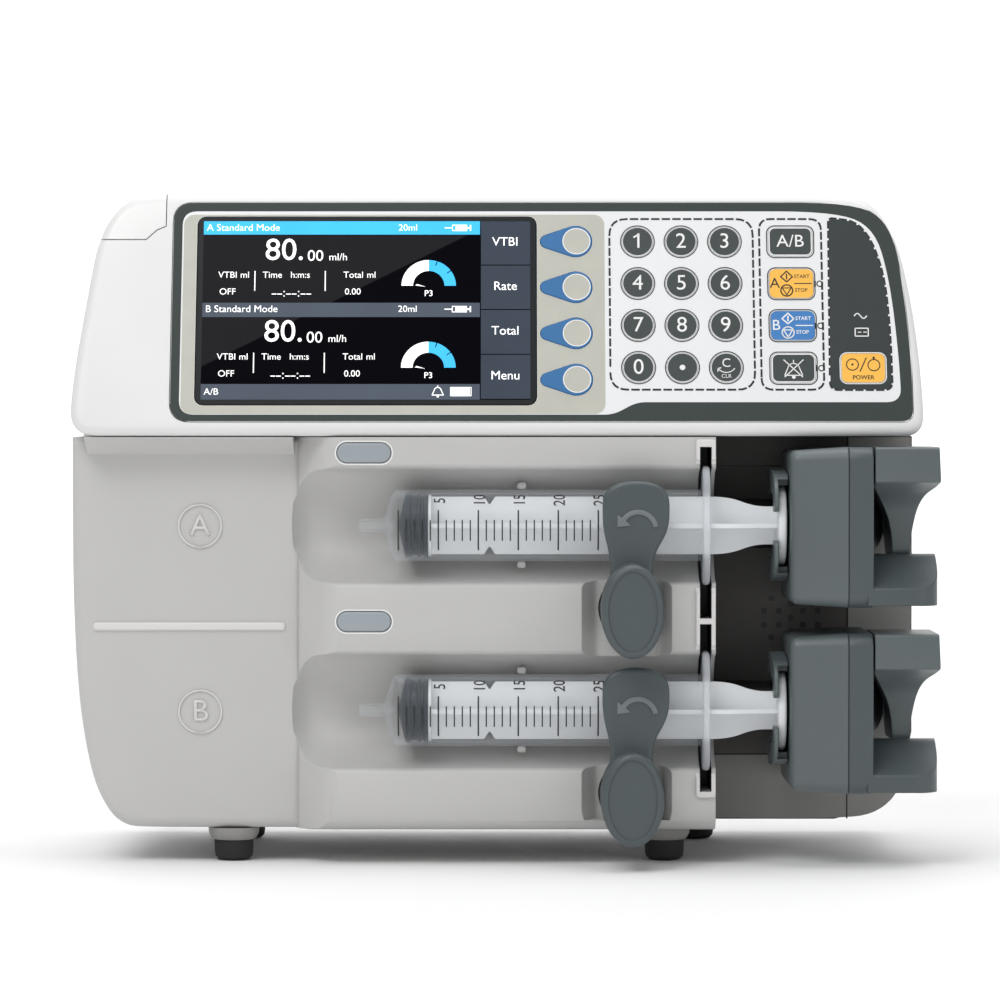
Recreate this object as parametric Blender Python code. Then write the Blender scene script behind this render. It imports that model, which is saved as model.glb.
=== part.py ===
"""Dual-channel syringe pump: one bench case, two syringe beds, two plunger drives and a keypad.

X runs to the right, Y away from the viewer and Z up. Lengths are in millimetres until a mesh is made.
Heights are measured from a datum on the case, which stands LIFT above the bench.
"""
import math

import bmesh
import bpy
from mathutils import Vector

MM = 0.001
LIFT = 1.8                 # bench to case datum
GAP = 0.3                  # clearance between neighbouring pieces
WALL = 3.0

# Case
CASE_TOP = 225.0
CASE_BOTTOM = 9.7
SPLIT_Y = -1.0             # front edge of the rear case
BACK_Y = 73.5
PAD_Y = 75.0               # face of the rear mounting pad
PAD_Z = 115.0
BOLT_REACH = 20.0          # bolt holes of the pad, from its centre
BOLT_R = 2.15
UPPER_Z = 142.3            # lower edge of the upper case
BED_X = (-70.6, 70.9)
BED_Y = -50.0
LEFT_PANEL_Y = -38.0
LIP_Y = -49.4              # lip under the upper case, over the left panel
BAY_Y = -4.0

# Operating panel, which leans back
TILT = math.radians(18.0)
PANEL_FOOT = Vector((0.0, -50.0, 146.0))
PANEL_UP = Vector((0.0, math.sin(TILT), math.cos(TILT)))
PANEL_OUT = Vector((0.0, -math.cos(TILT), math.sin(TILT)))
OVERLAY_DEPTH = 2.3
KEY_GAP = 0.15              # between a key and its hole
KEY_FACE = 0.5
KEY_BACK = -1.4
DISPLAY_BOX = (-104.2, 11.0, 6.8, 74.4)

# Syringe channels
AXIS_Z = {"a": 112.2, "b": 49.9}
SYRINGE_Y = -42.35
TROUGH_Y = -49.0
TROUGH_R = 19.0
BARREL_R = 12.05
BARREL_BORE = 11.05
STOPPER_R = 10.7
FLANGE_X = (66.4, 68.8)
SLOT_X = (65.5, 69.5)
DISC_X = (91.6, 94.6)
DISC_R = 14.9

# Plunger drive
DRIVE_Y = -15.0
TUBE_R = 8.5
TUBE_BORE = 6.5
SCREW_Y = 6.0
SCREW_R = 4.0
BULKHEAD_X = (-105.0, 57.0)
CARRIAGE_X = (95.3, 114.3)
GRIP_X = (114.6, 122.8)
CARRIAGE_Y = (-62.0, -5.5)
CARRIAGE_Z = (-27.1, 26.5)  # from the channel axis
CLAW_PIVOT = (-23.0, 14.0)  # Y, and height from the channel axis
CLAW_PIN_R = 2.0
LEVER_X = (123.4, 146.2)
LEVER_PIN_R = 4.0

# Barrel clamp
CLAMP_X = 42.4
CLAMP_DROP = 27.8           # shaft below the channel axis
COLLAR_R = 10.5
STEM_R = 7.0
ARM_Y = (-60.4, -54.7)
KNOB_Y = -75.0

CASE_LEFT = [
    (-120.4, 9.7), (-128.5, 12.0), (-135.2, 19.0), (-140.3, 28.8), (-143.8, 48.8),
    (-145.7, 78.5), (-146.2, 105.0),
]
UPPER_LEFT = [
    (-146.2, 155.0), (-142.3, 181.5), (-138.3, 208.8), (-134.2, 217.8), (-125.8, 223.3),
    (-115.7, 225.0),
]
UPPER_RIGHT = [
    (115.5, 225.0), (122.5, 222.3), (128.1, 217.4), (133.0, 209.1), (137.5, 189.3),
    (140.0, 164.2), (140.7, 152.5),
]
CASE_RIGHT = [(140.7, 40.0), (137.5, 24.0), (128.5, 13.5), (114.0, 9.7)]
OVERLAY = [
    (-112.3, 7.7), (-110.4, 3.1), (-105.8, 1.2), (135.0, 1.2), (136.9, 3.2), (136.9, 24.5),
    (134.6, 50.5), (131.5, 68.0), (127.0, 74.5), (120.0, 78.4), (112.5, 79.4), (-105.8, 79.4),
    (-110.4, 77.5), (-112.3, 72.9),
]

NUMBER_KEYS = ["1", "2", "3", "4", "5", "6", "7", "8", "9", "0", "point", "clear"]
NUMBER_AT = (45.1, 65.2)
NUMBER_PITCH = (14.75, 15.0)
NUMBER_R = 5.25
SOFT_AT = (24.1, 65.3)
SOFT_PITCH = 16.45
SOFT_TIP = 12.1
SOFT_TIP_R = 2.4
SOFT_R = 5.6
BLOCK_KEYS = {
    "key_channel": (96.9, 65.2, 14.8, 10.3, "charcoal"),
    "key_start_a": (97.0, 50.1, 14.8, 10.3, "orange"),
    "key_start_b": (97.2, 35.1, 14.8, 10.3, "blue"),
    "key_mute": (97.2, 20.0, 14.8, 10.3, "charcoal"),
    "key_power": (120.6, 20.0, 14.8, 10.3, "orange"),
}

PAINTS = {
    "white": ((0.80, 0.80, 0.79), 0.45, 0.0),
    "pale_grey": ((0.52, 0.53, 0.53), 0.5, 0.0),
    "warm_grey": ((0.10, 0.095, 0.09), 0.6, 0.0),
    "foil": ((0.78, 0.79, 0.80), 0.4, 0.0),
    "charcoal": ((0.055, 0.065, 0.063), 0.5, 0.0),
    "slate": ((0.14, 0.16, 0.17), 0.45, 0.0),
    "black": ((0.01, 0.01, 0.012), 0.2, 0.0),
    "rubber": ((0.03, 0.03, 0.035), 0.8, 0.0),
    "blue": ((0.04, 0.21, 0.52), 0.4, 0.0),
    "orange": ((0.95, 0.50, 0.08), 0.4, 0.0),
    "lens": ((0.85, 0.88, 0.86), 0.25, 0.0),
    "clear": ((0.75, 0.80, 0.82), 0.15, 0.0),
    "steel": ((0.55, 0.56, 0.57), 0.3, 1.0),
    "board": ((0.02, 0.18, 0.07), 0.5, 0.0),
}


# ---------------------------------------------------------------- outlines, as lists of (a, b)

def circle(a, b, radius, steps=32):
    """A regular polygon round (a, b)."""
    turns = [2.0 * math.pi * i / steps for i in range(steps)]
    return [(a + radius * math.cos(t), b + radius * math.sin(t)) for t in turns]


def rounded(a, b, width, height, radius, steps=4):
    """A rectangle centred on (a, b) with round corners."""
    points = []
    corners = [(1, 1, 0), (-1, 1, 1), (-1, -1, 2), (1, -1, 3)]
    for sign_a, sign_b, quarter in corners:
        centre_a = a + sign_a * (width / 2 - radius)
        centre_b = b + sign_b * (height / 2 - radius)
        for i in range(steps + 1):
            t = (quarter + i / steps) * math.pi / 2
            points.append((centre_a + radius * math.cos(t), centre_b + radius * math.sin(t)))
    return points


def oval(a, b, width, height, steps=32):
    """An ellipse centred on (a, b)."""
    return [(a + x * width / 2, b + y * height / 2) for x, y in circle(0, 0, 1, steps)]


def area(outline):
    """Signed area, positive when the outline runs anticlockwise."""
    total = 0.0
    for (a0, b0), (a1, b1) in zip(outline, outline[1:] + outline[:1]):
        total += a0 * b1 - a1 * b0
    return total / 2


def inset(outline, distance):
    """The outline moved inwards by a distance, or outwards where it is negative."""
    if distance == 0:
        return list(outline)
    turn = 1 if area(outline) > 0 else -1
    moved = []
    for i, here in enumerate(outline):
        before = Vector(outline[i - 1])
        corner = Vector(here)
        after = Vector(outline[(i + 1) % len(outline)])
        first = (corner - before).normalized()
        second = (after - corner).normalized()
        normal_a = Vector((-first.y, first.x)) * turn
        normal_b = Vector((-second.y, second.x)) * turn
        bisector = (normal_a + normal_b).normalized()
        reach = distance / max(0.3, bisector.dot(normal_a))
        moved.append(tuple(corner + bisector * reach))
    return moved


def teardrop(b):
    """A soft key: a round key drawn out to a smaller round tip towards the screen."""
    outline = []
    ends = [(SOFT_AT[0], SOFT_R, -110, 110, 18), (SOFT_TIP + SOFT_TIP_R, SOFT_TIP_R, 110, 250, 8)]
    for a, radius, start, end, steps in ends:
        turns = [math.radians(start + (end - start) * i / steps) for i in range(steps + 1)]
        outline += [(a + radius * math.cos(t), b + radius * math.sin(t)) for t in turns]
    return outline


# ---------------------------------------------------------------- shapes, as (points, faces)

def place(plane, a, b, depth):
    """The point of an outline drawn on the front, side, top or panel plane."""
    if plane == "front":
        return Vector((a, depth, b))
    if plane == "side":
        return Vector((depth, a, b))
    if plane == "top":
        return Vector((a, b, depth))
    return PANEL_FOOT + Vector((a, 0, 0)) + PANEL_UP * b + PANEL_OUT * depth


def loft(rings):
    """A closed body through rings of as many points each, with flat ends."""
    count = len(rings[0])
    points = [point for ring in rings for point in ring]
    faces = [tuple(range(count))]
    for level in range(len(rings) - 1):
        low = level * count
        for i in range(count):
            j = (i + 1) % count
            faces.append((low + i, low + j, low + count + j, low + count + i))
    faces.append(tuple(range(len(points) - count, len(points))))
    return points, faces


def stack(plane, levels):
    """A loft through (outline, depth) levels on one plane."""
    return loft([[place(plane, a, b, depth) for a, b in outline] for outline, depth in levels])


def prism(plane, outline, low, high):
    """A straight extrusion."""
    return stack(plane, [(outline, low), (outline, high)])


def block(x, y, z):
    """A box from its ranges in X, Y and Z."""
    outline = [(x[0], y[0]), (x[1], y[0]), (x[1], y[1]), (x[0], y[1])]
    return prism("top", outline, z[0], z[1])


def rod(plane, centre, radius, low, high, steps=32):
    """A cylinder square to a plane."""
    return prism(plane, circle(centre[0], centre[1], radius, steps), low, high)


def turned(plane, centre, profile, steps=32):
    """A solid of revolution from (radius, depth) pairs."""
    levels = [(circle(centre[0], centre[1], radius, steps), depth) for radius, depth in profile]
    return stack(plane, levels)


def group(shapes):
    """Several shapes that don't touch, as one."""
    points, faces = [], []
    for more_points, more_faces in shapes:
        start = len(points)
        points.extend(more_points)
        faces.extend(tuple(start + i for i in face) for face in more_faces)
    return points, faces


# ---------------------------------------------------------------- objects

def paint(name):
    """The material of this name, made on first use."""
    if name in bpy.data.materials:
        return bpy.data.materials[name]
    colour, roughness, metallic = PAINTS[name]
    material = bpy.data.materials.new(name)
    material.use_nodes = True
    shader = material.node_tree.nodes["Principled BSDF"]
    shader.inputs["Base Color"].default_value = (*colour, 1.0)
    shader.inputs["Roughness"].default_value = roughness
    shader.inputs["Metallic"].default_value = metallic
    material.diffuse_color = (*colour, 1.0)
    return material


def make(name, shape, colour, origin=(0.0, 0.0, 0.0)):
    """An object whose mesh is the shape, with its origin at a point of the datum frame."""
    points, faces = shape
    start = Vector(origin)
    mesh = bpy.data.meshes.new(name)
    mesh.from_pydata([(point - start) * MM for point in points], [], faces)
    body = bmesh.new()
    body.from_mesh(mesh)
    bmesh.ops.recalc_face_normals(body, faces=body.faces)
    body.to_mesh(mesh)
    body.free()
    mesh.materials.append(paint(colour))
    thing = bpy.data.objects.new(name, mesh)
    thing.location = (start + Vector((0, 0, LIFT))) * MM
    bpy.context.scene.collection.objects.link(thing)
    return thing


def combine(target, operation, tool):
    """A Boolean on the target, whose tool becomes a hidden helper."""
    tool.hide_render = True
    tool.display_type = "WIRE"
    modifier = target.modifiers.new(tool.name, "BOOLEAN")
    modifier.operation = operation
    modifier.solver = "EXACT"
    modifier.object = tool


def work(target, operation, shapes):
    """Cuts, joins or intersects the target with each shape in turn."""
    for index, shape in enumerate(shapes):
        name = f"{target.name}_{operation.lower()}_{index}"
        combine(target, operation, make(name, shape, "slate"))


def cut(target, *shapes):
    """Removes the shapes from the target."""
    return work(target, "DIFFERENCE", shapes)


def join(target, *shapes):
    """Adds the shapes to the target."""
    return work(target, "UNION", shapes)


def common(target, *shapes):
    """Keeps what the target shares with each shape."""
    return work(target, "INTERSECT", shapes)


# ---------------------------------------------------------------- case

def panel_y(z, depth=0.0):
    """Y of the leaning front at a height, moved back by a depth."""
    return PANEL_FOOT.y + (z - PANEL_FOOT.z) * math.tan(TILT) + depth


def upper_outline():
    """Front view of the upper case."""
    bottom_left = [(-145.5, 149.6), (-142.8, 144.8), (-137.0, UPPER_Z)]
    bottom_right = [(134.0, UPPER_Z), (138.0, 144.3), (140.2, 148.0)]
    right = list(reversed(UPPER_RIGHT))
    left = list(reversed(UPPER_LEFT))
    return bottom_left + bottom_right + right + left


def upper_body(distance, depths, back):
    """A body with the upper case's outline, its front parallel to the panel."""
    rings = []
    for extra, depth in depths:
        outline = inset(upper_outline(), distance + extra)
        rings.append([Vector((x, panel_y(z, depth), z)) for x, z in outline])
    outline = inset(upper_outline(), distance)
    rings.append([Vector((x, back, z)) for x, z in outline])
    return loft(rings)


def lens_region(grow):
    """Top left corner of the upper case, taken by the alarm lamp lens."""
    outline = [(-160, 208.8), (-120.4, 208.8), (-114.8, 213.0), (-114.8, 240), (-160, 240)]
    return prism("front", inset(outline, -grow), -70.0, -8.0 + grow)


def make_upper_case():
    """White upper shell with the recess for the keypad, and its corner lens."""
    front = [(3.0, 0.0), (0.9, 0.9), (0.0, 3.0)]
    outside = upper_body(0.0, front, SPLIT_Y - GAP)
    hollow = upper_body(WALL, [(0.0, 6.3)], 5.0)
    x0, x1, v0, v1 = DISPLAY_BOX
    window = rounded((x0 + x1) / 2, (v0 + v1) / 2, x1 - x0, v1 - v0, 3.0)
    case = make("upper_front_case", outside, "white")
    cut(
        case,
        hollow,
        prism("panel", inset(OVERLAY, -GAP), -OVERLAY_DEPTH, 8.0),
        prism("panel", window, -20.0, 4.0),
        lens_region(GAP / 2),
    )
    lens = make("alarm_lamp_lens", outside, "lens")
    cut(lens, hollow)
    common(lens, lens_region(-GAP / 2))


def lower_outline():
    """Front view of the lower front case."""
    top = UPPER_Z - GAP
    return CASE_LEFT + [(-146.2, top), (BED_X[1], top), (BED_X[1], CASE_BOTTOM)]


def bed_cutters(channel):
    """Cuts for one channel: trough, clamp channel, shaft bore, flange slot, tube hole, lamp seat."""
    axis = AXIS_Z[channel]
    shaft = (CLAMP_X, axis - CLAMP_DROP)
    foot = {"a": 65.3, "b": 13.4}[channel]
    lamp_z = {"a": 136.7, "b": 80.1}[channel]
    slot = {"a": (81.0, 138.7), "b": (23.0, 79.5)}[channel]
    channel_plan = [(24.6, -50.5), (31.0, -44.0), (52.0, -44.0), (57.2, -50.5)]
    return [
        rod("side", (TROUGH_Y, axis), TROUGH_R, BED_X[0] - 0.5, 80.0, 48),
        prism("top", channel_plan, foot, axis - 16.4),
        rod("front", shaft, COLLAR_R + GAP, -55.0, -38.0),
        rod("front", shaft, STEM_R + GAP, -40.0, -20.0),
        block(SLOT_X, (-60.0, -26.5), slot),
        rod("side", (DRIVE_Y, axis), TUBE_R + 0.4, 55.0, 80.0),
        prism("front", rounded(-47.1, lamp_z, 18.7, 7.3, 3.6), -55.0, -48.0),
    ]


def make_lower_case():
    """Grey lower shell: a set-back left panel and the syringe bed with its two troughs."""
    outline = lower_outline()
    levels = [(4.0, 0.0), (1.2, 1.2), (0.0, 4.0)]
    rounded_front = [(inset(outline, extra), LEFT_PANEL_Y + depth) for extra, depth in levels]
    case = make(
        "lower_front_case",
        stack("front", rounded_front + [(outline, SPLIT_Y - GAP)]),
        "pale_grey",
    )
    top = UPPER_Z - GAP
    bed = [(SPLIT_Y - GAP, 9.7), (-44.0, 9.7), (BED_Y, 16.0), (BED_Y, top), (SPLIT_Y - GAP, top)]
    lip = [(-36.0, 134.6), (LIP_Y, 141.2), (LIP_Y, top - 0.1), (-36.0, top - 0.1)]
    join(case, prism("side", bed, BED_X[0], BED_X[1]), prism("side", lip, -138.5, BED_X[0] + 2.0))
    left = CASE_LEFT + [(-146.2, top), (-70.0, top), (-70.0, CASE_BOTTOM)]
    inner = inset(outline[:-2] + [(62.0 + WALL, top), (62.0 + WALL, CASE_BOTTOM)], WALL)
    cut(
        case,
        prism("front", inner, -26.5, 4.0),
        prism("front", inset(left, WALL), -34.5, -20.0),
        prism("top", [(-72.0, -51.0), (-57.5, -51.0), (-71.0, -38.3), (-72.0, -38.3)], 0.0, 135.0),
        *bed_cutters("a"),
        *bed_cutters("b"),
    )


def rear_outline():
    """Front view of the whole case."""
    return CASE_LEFT + UPPER_LEFT + UPPER_RIGHT + CASE_RIGHT


def make_rear_case():
    """Rear shell with its mounting pad, screw bearings, board posts and mains inlet."""
    outline = rear_outline()
    levels = [(0.0, SPLIT_Y), (0.0, BACK_Y - 3.0), (0.9, BACK_Y - 0.9), (3.0, BACK_Y)]
    case = make(
        "rear_case",
        stack("front", [(inset(outline, extra), depth) for extra, depth in levels]),
        "white",
    )
    cut(case, prism("front", inset(outline, WALL), -5.0, BACK_Y - WALL))
    back = BACK_Y - WALL
    posts = [rod("front", (x, z), 3.5, 16.0, back + 1, 16) for x in (-85, 85) for z in (162, 208)]
    walls = [block((x, x + 3.0), (0.0, back + 1), (11.0, 130.0)) for x in BULKHEAD_X]
    join(
        case,
        group(posts),
        group(walls),
        block((87.0, 123.0), (58.0, BACK_Y - 1), (22.0, 51.0)),
        block((-30.0, 30.0), (BACK_Y - 1, PAD_Y), (PAD_Z - 30.0, PAD_Z + 30.0)),
    )
    bearings = []
    for axis in AXIS_Z.values():
        bearings.append(rod("side", (SCREW_Y, axis), 5.6, -110.0, -95.0))
        bearings.append(rod("side", (SCREW_Y, axis), SCREW_R + 0.4, 50.0, 65.0))
    vents = [block((x, x + 3.0), (60.0, 80.0), (90.0, 125.0)) for x in range(-95, -55, 8)]
    bolts = [
        rod("front", (x, PAD_Z + z), BOLT_R, 60.0, 80.0)
        for x in (-BOLT_REACH, BOLT_REACH)
        for z in (-BOLT_REACH, BOLT_REACH)
    ]
    inlet = block((90.0, 120.0), (61.0, 80.0), (25.0, 48.0))
    cut(case, group(bearings), group(vents), group(bolts), inlet)


def make_bay_cover():
    """Dark wall behind the two carriages."""
    top = UPPER_Z - GAP
    left = BED_X[1] + GAP
    outline = [(left, top), (140.7, top)] + CASE_RIGHT + [(left, CASE_BOTTOM)]
    make("drive_bay_cover", prism("front", outline, BAY_Y, SPLIT_Y - GAP), "warm_grey")


def make_feet():
    """Four rubber feet, each with a wide top and a narrower tread."""
    spots = [("front_left", -92.0, -29.0), ("front_right", 54.4, -29.0)]
    spots += [("rear_left", -92.0, 47.0), ("rear_right", 68.0, 47.0)]
    for label, x, y in spots:
        profile = [(5.9, -LIFT), (6.6, -LIFT + 0.8), (6.6, 5.6), (8.7, 5.8), (8.7, CASE_BOTTOM - GAP)]
        make(f"foot_{label}", turned("top", (x, y), profile, 24), "rubber")


# ---------------------------------------------------------------- operating panel

def key_outlines():
    """Outline and colour of every key, by name."""
    keys = {}
    for row in range(4):
        keys[f"key_soft_{row + 1}"] = (teardrop(SOFT_AT[1] - row * SOFT_PITCH), "blue")
    for index, label in enumerate(NUMBER_KEYS):
        a = NUMBER_AT[0] + (index % 3) * NUMBER_PITCH[0]
        b = NUMBER_AT[1] - (index // 3) * NUMBER_PITCH[1]
        keys[f"key_{label}"] = (circle(a, b, NUMBER_R, 20), "charcoal")
    for name, (a, b, width, height, colour) in BLOCK_KEYS.items():
        keys[name] = (rounded(a, b, width, height, 2.2, 3), colour)
    return keys


def make_panel():
    """Overlay, display and keys."""
    x0, x1, v0, v1 = DISPLAY_BOX
    middle = ((x0 + x1) / 2, (v0 + v1) / 2)
    window = rounded(*middle, x1 - x0, v1 - v0, 3.0)
    keys = key_outlines()
    overlay = make("keypad_overlay", prism("panel", OVERLAY, GAP - OVERLAY_DEPTH, 0.2), "foil")
    holes = [prism("panel", inset(outline, -KEY_GAP), -5.0, 5.0) for outline, _ in keys.values()]
    cut(overlay, group(holes + [prism("panel", window, -5.0, 5.0)]))
    glass = rounded(*middle, x1 - x0 - 2 * GAP, v1 - v0 - 2 * GAP, 2.7)
    make("display_module", prism("panel", glass, -11.0, 0.2), "black")
    for name, (outline, colour) in keys.items():
        levels = [(outline, KEY_BACK), (outline, KEY_FACE - 0.3), (inset(outline, 0.3), KEY_FACE)]
        centre_a = sum(a for a, _ in outline) / len(outline)
        centre_b = sum(b for _, b in outline) / len(outline)
        origin = place("panel", centre_a, centre_b, KEY_BACK)
        make(name, stack("panel", levels), colour, origin)


# ---------------------------------------------------------------- inside the case

def make_insides():
    """Main board and battery pack."""
    make("main_board", block((-95.0, 95.0), (14.0, 15.6), (155.0, 215.0)), "board")
    make("battery_pack", block((-50.0, 45.0), (34.0, 69.5), (13.1, 60.0)), "slate")


def make_screw_drive(channel):
    """Motor, lead screw, and drive tube with its half nut."""
    axis = AXIS_Z[channel]
    at = (SCREW_Y, axis)
    motor = make(
        f"drive_motor_{channel}",
        prism("side", rounded(*at, 28.0, 28.0, 3.0, 2), -133.0, BULKHEAD_X[0] - GAP),
        "steel",
    )
    join(motor, rod("side", at, 2.0, -106.0, -98.0, 16))
    screw = make(
        f"lead_screw_{channel}",
        turned("side", at, [(5.2, -104.6), (5.2, -96.0), (SCREW_R, -95.8), (SCREW_R, 60.3)], 24),
        "steel",
        (0.0, *at),
    )
    cut(screw, rod("side", at, 2.3, -110.0, -97.5, 16))
    centre = (DRIVE_Y, axis)
    tube = make(
        f"drive_tube_{channel}",
        rod("side", centre, TUBE_R, -60.0, CARRIAGE_X[0] - GAP),
        "black",
        (0.0, *centre),
    )
    join(tube, block((-62.0, -44.0), (-25.2, SCREW_Y), (axis - 11.0, axis + 11.0)))
    cut(
        tube,
        rod("side", centre, TUBE_BORE, -40.0, 100.0),
        rod("side", at, SCREW_R + 0.4, -70.0, -40.0, 24),
    )


# ---------------------------------------------------------------- plunger carriage

def carriage_outline(axis):
    """Side view of a carriage."""
    y = sum(CARRIAGE_Y) / 2
    z = axis + sum(CARRIAGE_Z) / 2
    return rounded(y, z, CARRIAGE_Y[1] - CARRIAGE_Y[0], CARRIAGE_Z[1] - CARRIAGE_Z[0], 5.0)


def make_carriage(channel):
    """Carriage shell with the claw pins, and the grip with its shelf and lever pin."""
    axis = AXIS_Z[channel]
    outline = carriage_outline(axis)
    origin = (0.0, DRIVE_Y, axis)
    shell = make(f"carriage_shell_{channel}", prism("side", outline, *CARRIAGE_X), "slate", origin)
    cut(shell, prism("side", inset(outline, 2.5), CARRIAGE_X[0] + 2.5, CARRIAGE_X[1] + 5))
    pins = [
        rod("side", (CLAW_PIVOT[0], axis + side * CLAW_PIVOT[1]), CLAW_PIN_R, 90.2, 96.5, 16)
        for side in (-1, 1)
    ]
    join(shell, group(pins))
    grip = make(f"carriage_grip_{channel}", prism("side", outline, *GRIP_X), "slate", origin)
    low = axis - 26.4
    shelf = [(-62, low), (-62, low + 5.7), (-44, low + 17.0), (-41, low + 17.0), (-41, low)]
    shelf_end = LEVER_X[1] - 1.3
    plan = [(118.0, -62.0), (134.0, -62.0), (140.0, -60.2), (143.4, -56.4), (shelf_end, -50.0)]
    plan += [(shelf_end, -41.0), (118.0, -41.0)]
    ramp = make(f"shelf_{channel}", prism("side", shelf, 118.0, shelf_end), "slate")
    common(ramp, prism("top", plan, low - 5, low + 25))
    combine(grip, "UNION", ramp)
    join(grip, rod("side", (DRIVE_Y, axis), LEVER_PIN_R, 120.0, 139.0, 24))


def make_lever(channel):
    """Release lever: a wide cap on a narrow neck that turns on the grip's pin."""
    axis = AXIS_Z[channel]
    side = [
        (-62.0, 26.5), (-62.0, 15.5), (-58.0, 12.5), (-41.0, -2.5), (-24.0, -8.0), (-12.0, -8.0),
        (-7.5, -4.0), (-7.5, 4.0), (-12.0, 9.0), (-20.0, 14.0), (-24.0, 26.5),
    ]
    front = [
        (LEVER_X[0], 30.0), (LEVER_X[0], 14.5), (124.2, 10.5), (126.6, 6.0), (129.3, 0.5),
        (130.9, -5.0), (130.9, -12.0), (136.9, -12.0), (136.9, -5.0), (138.6, 0.5),
        (141.6, 6.0), (144.8, 10.5), (LEVER_X[1], 15.0), (LEVER_X[1], 30.0),
    ]
    body = prism("side", [(y, axis + z) for y, z in side], *LEVER_X)
    lever = make(f"release_lever_{channel}", body, "slate", (134.0, DRIVE_Y, axis))
    common(lever, prism("front", [(x, axis + z) for x, z in front], -70.0, 0.0))
    cut(lever, rod("side", (DRIVE_Y, axis), LEVER_PIN_R + GAP, 120.0, 150.0, 24))


def make_claw(channel, label, side):
    """Claw that hooks over the plunger disc from above (side 1) or below (side -1)."""
    axis = AXIS_Z[channel]
    back = [(-19.3, 16.0), (-18.8, 12.8), (-20.8, 10.2), (-24.0, 9.9)]
    outer = [(-58.5, 9.0), (-57.5, 14.5), (-52.0, 19.0), (-42.0, 21.5), (-30.0, 21.0), (-22.0, 18.6)]
    finger = [(-28.0, 12.0), (-47.0, 10.5), (-47.5, 4.7), (-57.0, 4.7)]
    plate = [(y, axis + side * z) for y, z in outer + back + finger]
    pivot = (CLAW_PIVOT[0], axis + side * CLAW_PIVOT[1])
    claw = make(
        f"claw_{label}_{channel}",
        prism("side", plate, DISC_X[0] - 1.6, CARRIAGE_X[0] - GAP),
        "charcoal",
        (92.5, *pivot),
    )
    cut(
        claw,
        rod("side", (SYRINGE_Y, axis), DISC_R + 0.7, DISC_X[0] - GAP, 100.0, 48),
        rod("side", pivot, CLAW_PIN_R + GAP, 85.0, 100.0, 16),
    )


# ---------------------------------------------------------------- syringe and clamp

def make_syringe(channel):
    """Barrel with its finger flange, and plunger with its stopper and disc."""
    axis = AXIS_Z[channel]
    at = (SYRINGE_Y, axis)
    body = [(2.0, -49.0), (2.3, -40.8), (5.5, -39.6), (BARREL_R, -37.4), (BARREL_R, 67.0)]
    barrel = make(f"syringe_barrel_{channel}", turned("side", at, body), "clear")
    join(barrel, prism("side", rounded(*at, 26.0, 40.0, 9.0), *FLANGE_X))
    bore = [(BARREL_BORE, -36.2), (BARREL_BORE, 75.0)]
    cut(barrel, turned("side", at, bore), rod("side", at, 1.1, -55.0, -35.0, 12))
    profile = [
        (3.0, -35.6), (STOPPER_R, -33.0), (STOPPER_R, -32.0), (9.9, -31.6), (9.9, -27.6),
        (STOPPER_R, -27.2), (STOPPER_R, -25.8),
    ]
    plunger = make(f"plunger_{channel}", turned("side", at, profile), "clear", (30.0, *at))
    height = [(-27.0, 9.7), (77.2, 9.7), (82.9, 6.5), (92.0, 6.5)]
    rib = [(x, axis + z) for x, z in height] + [(x, axis - z) for x, z in reversed(height)]
    web = [(x, SYRINGE_Y + z) for x, z in height] + [(x, SYRINGE_Y - z) for x, z in reversed(height)]
    join(
        plunger,
        prism("front", rib, SYRINGE_Y - 0.75, SYRINGE_Y + 0.75),
        prism("top", web, axis - 0.75, axis + 0.75),
        rod("side", at, DISC_R, *DISC_X),
    )


def make_clamp(channel):
    """Barrel clamp: a shaft that pulls out, and an arm that swings on its collar."""
    z = AXIS_Z[channel] - CLAMP_DROP
    at = (CLAMP_X, z)
    profile = [(COLLAR_R, ARM_Y[1] + GAP), (COLLAR_R, -38.3), (STEM_R, -38.2), (STEM_R, -5.0)]
    make(f"clamp_shaft_{channel}", turned("front", at, profile), "charcoal", (CLAMP_X, -45.0, z))
    neck = [(CLAMP_X - 8.5, z), (CLAMP_X - 6.5, z + 24), (CLAMP_X + 9.0, z + 24), (CLAMP_X + 8.5, z)]
    head = circle(CLAMP_X + 1.7, z + 30.5, 11.0, 28)
    knob = oval(CLAMP_X, z, 20.8, 31.2, 28)
    arm = make(f"clamp_arm_{channel}", prism("front", neck, *ARM_Y), "slate", (CLAMP_X, -57.0, z))
    join(
        arm,
        stack("front", [(head, ARM_Y[1]), (head, ARM_Y[0] + 1.2), (inset(head, 1.2), ARM_Y[0])]),
        stack(
            "front",
            [(knob, ARM_Y[1]), (knob, KNOB_Y + 5), (inset(knob, 1.5), KNOB_Y + 1.5), (inset(knob, 4), KNOB_Y)],
        ),
    )


def make_channel_lamp(channel):
    """Pill-shaped lamp over a trough."""
    z = {"a": 136.7, "b": 80.1}[channel]
    pill = rounded(-47.1, z, 18.1, 6.7, 3.3)
    make(f"channel_lamp_{channel}", prism("front", pill, BED_Y - 0.3, -48.3), "lens")


def main():
    """Clears the scene and makes every piece."""
    for thing in list(bpy.data.objects):
        bpy.data.objects.remove(thing)
    make_upper_case()
    make_lower_case()
    make_rear_case()
    make_bay_cover()
    make_feet()
    make_panel()
    make_insides()
    for channel in ("a", "b"):
        make_screw_drive(channel)
        make_carriage(channel)
        make_lever(channel)
        make_claw(channel, "upper", 1)
        make_claw(channel, "lower", -1)
        make_syringe(channel)
        make_clamp(channel)
        make_channel_lamp(channel)


main()
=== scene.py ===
"""Looks of the dual-channel syringe pump: materials, print, fine pieces, light and camera.

Lengths are in millimetres above the case datum, in the frame of the CAD model, until a mesh is made.
"""
import math

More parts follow.
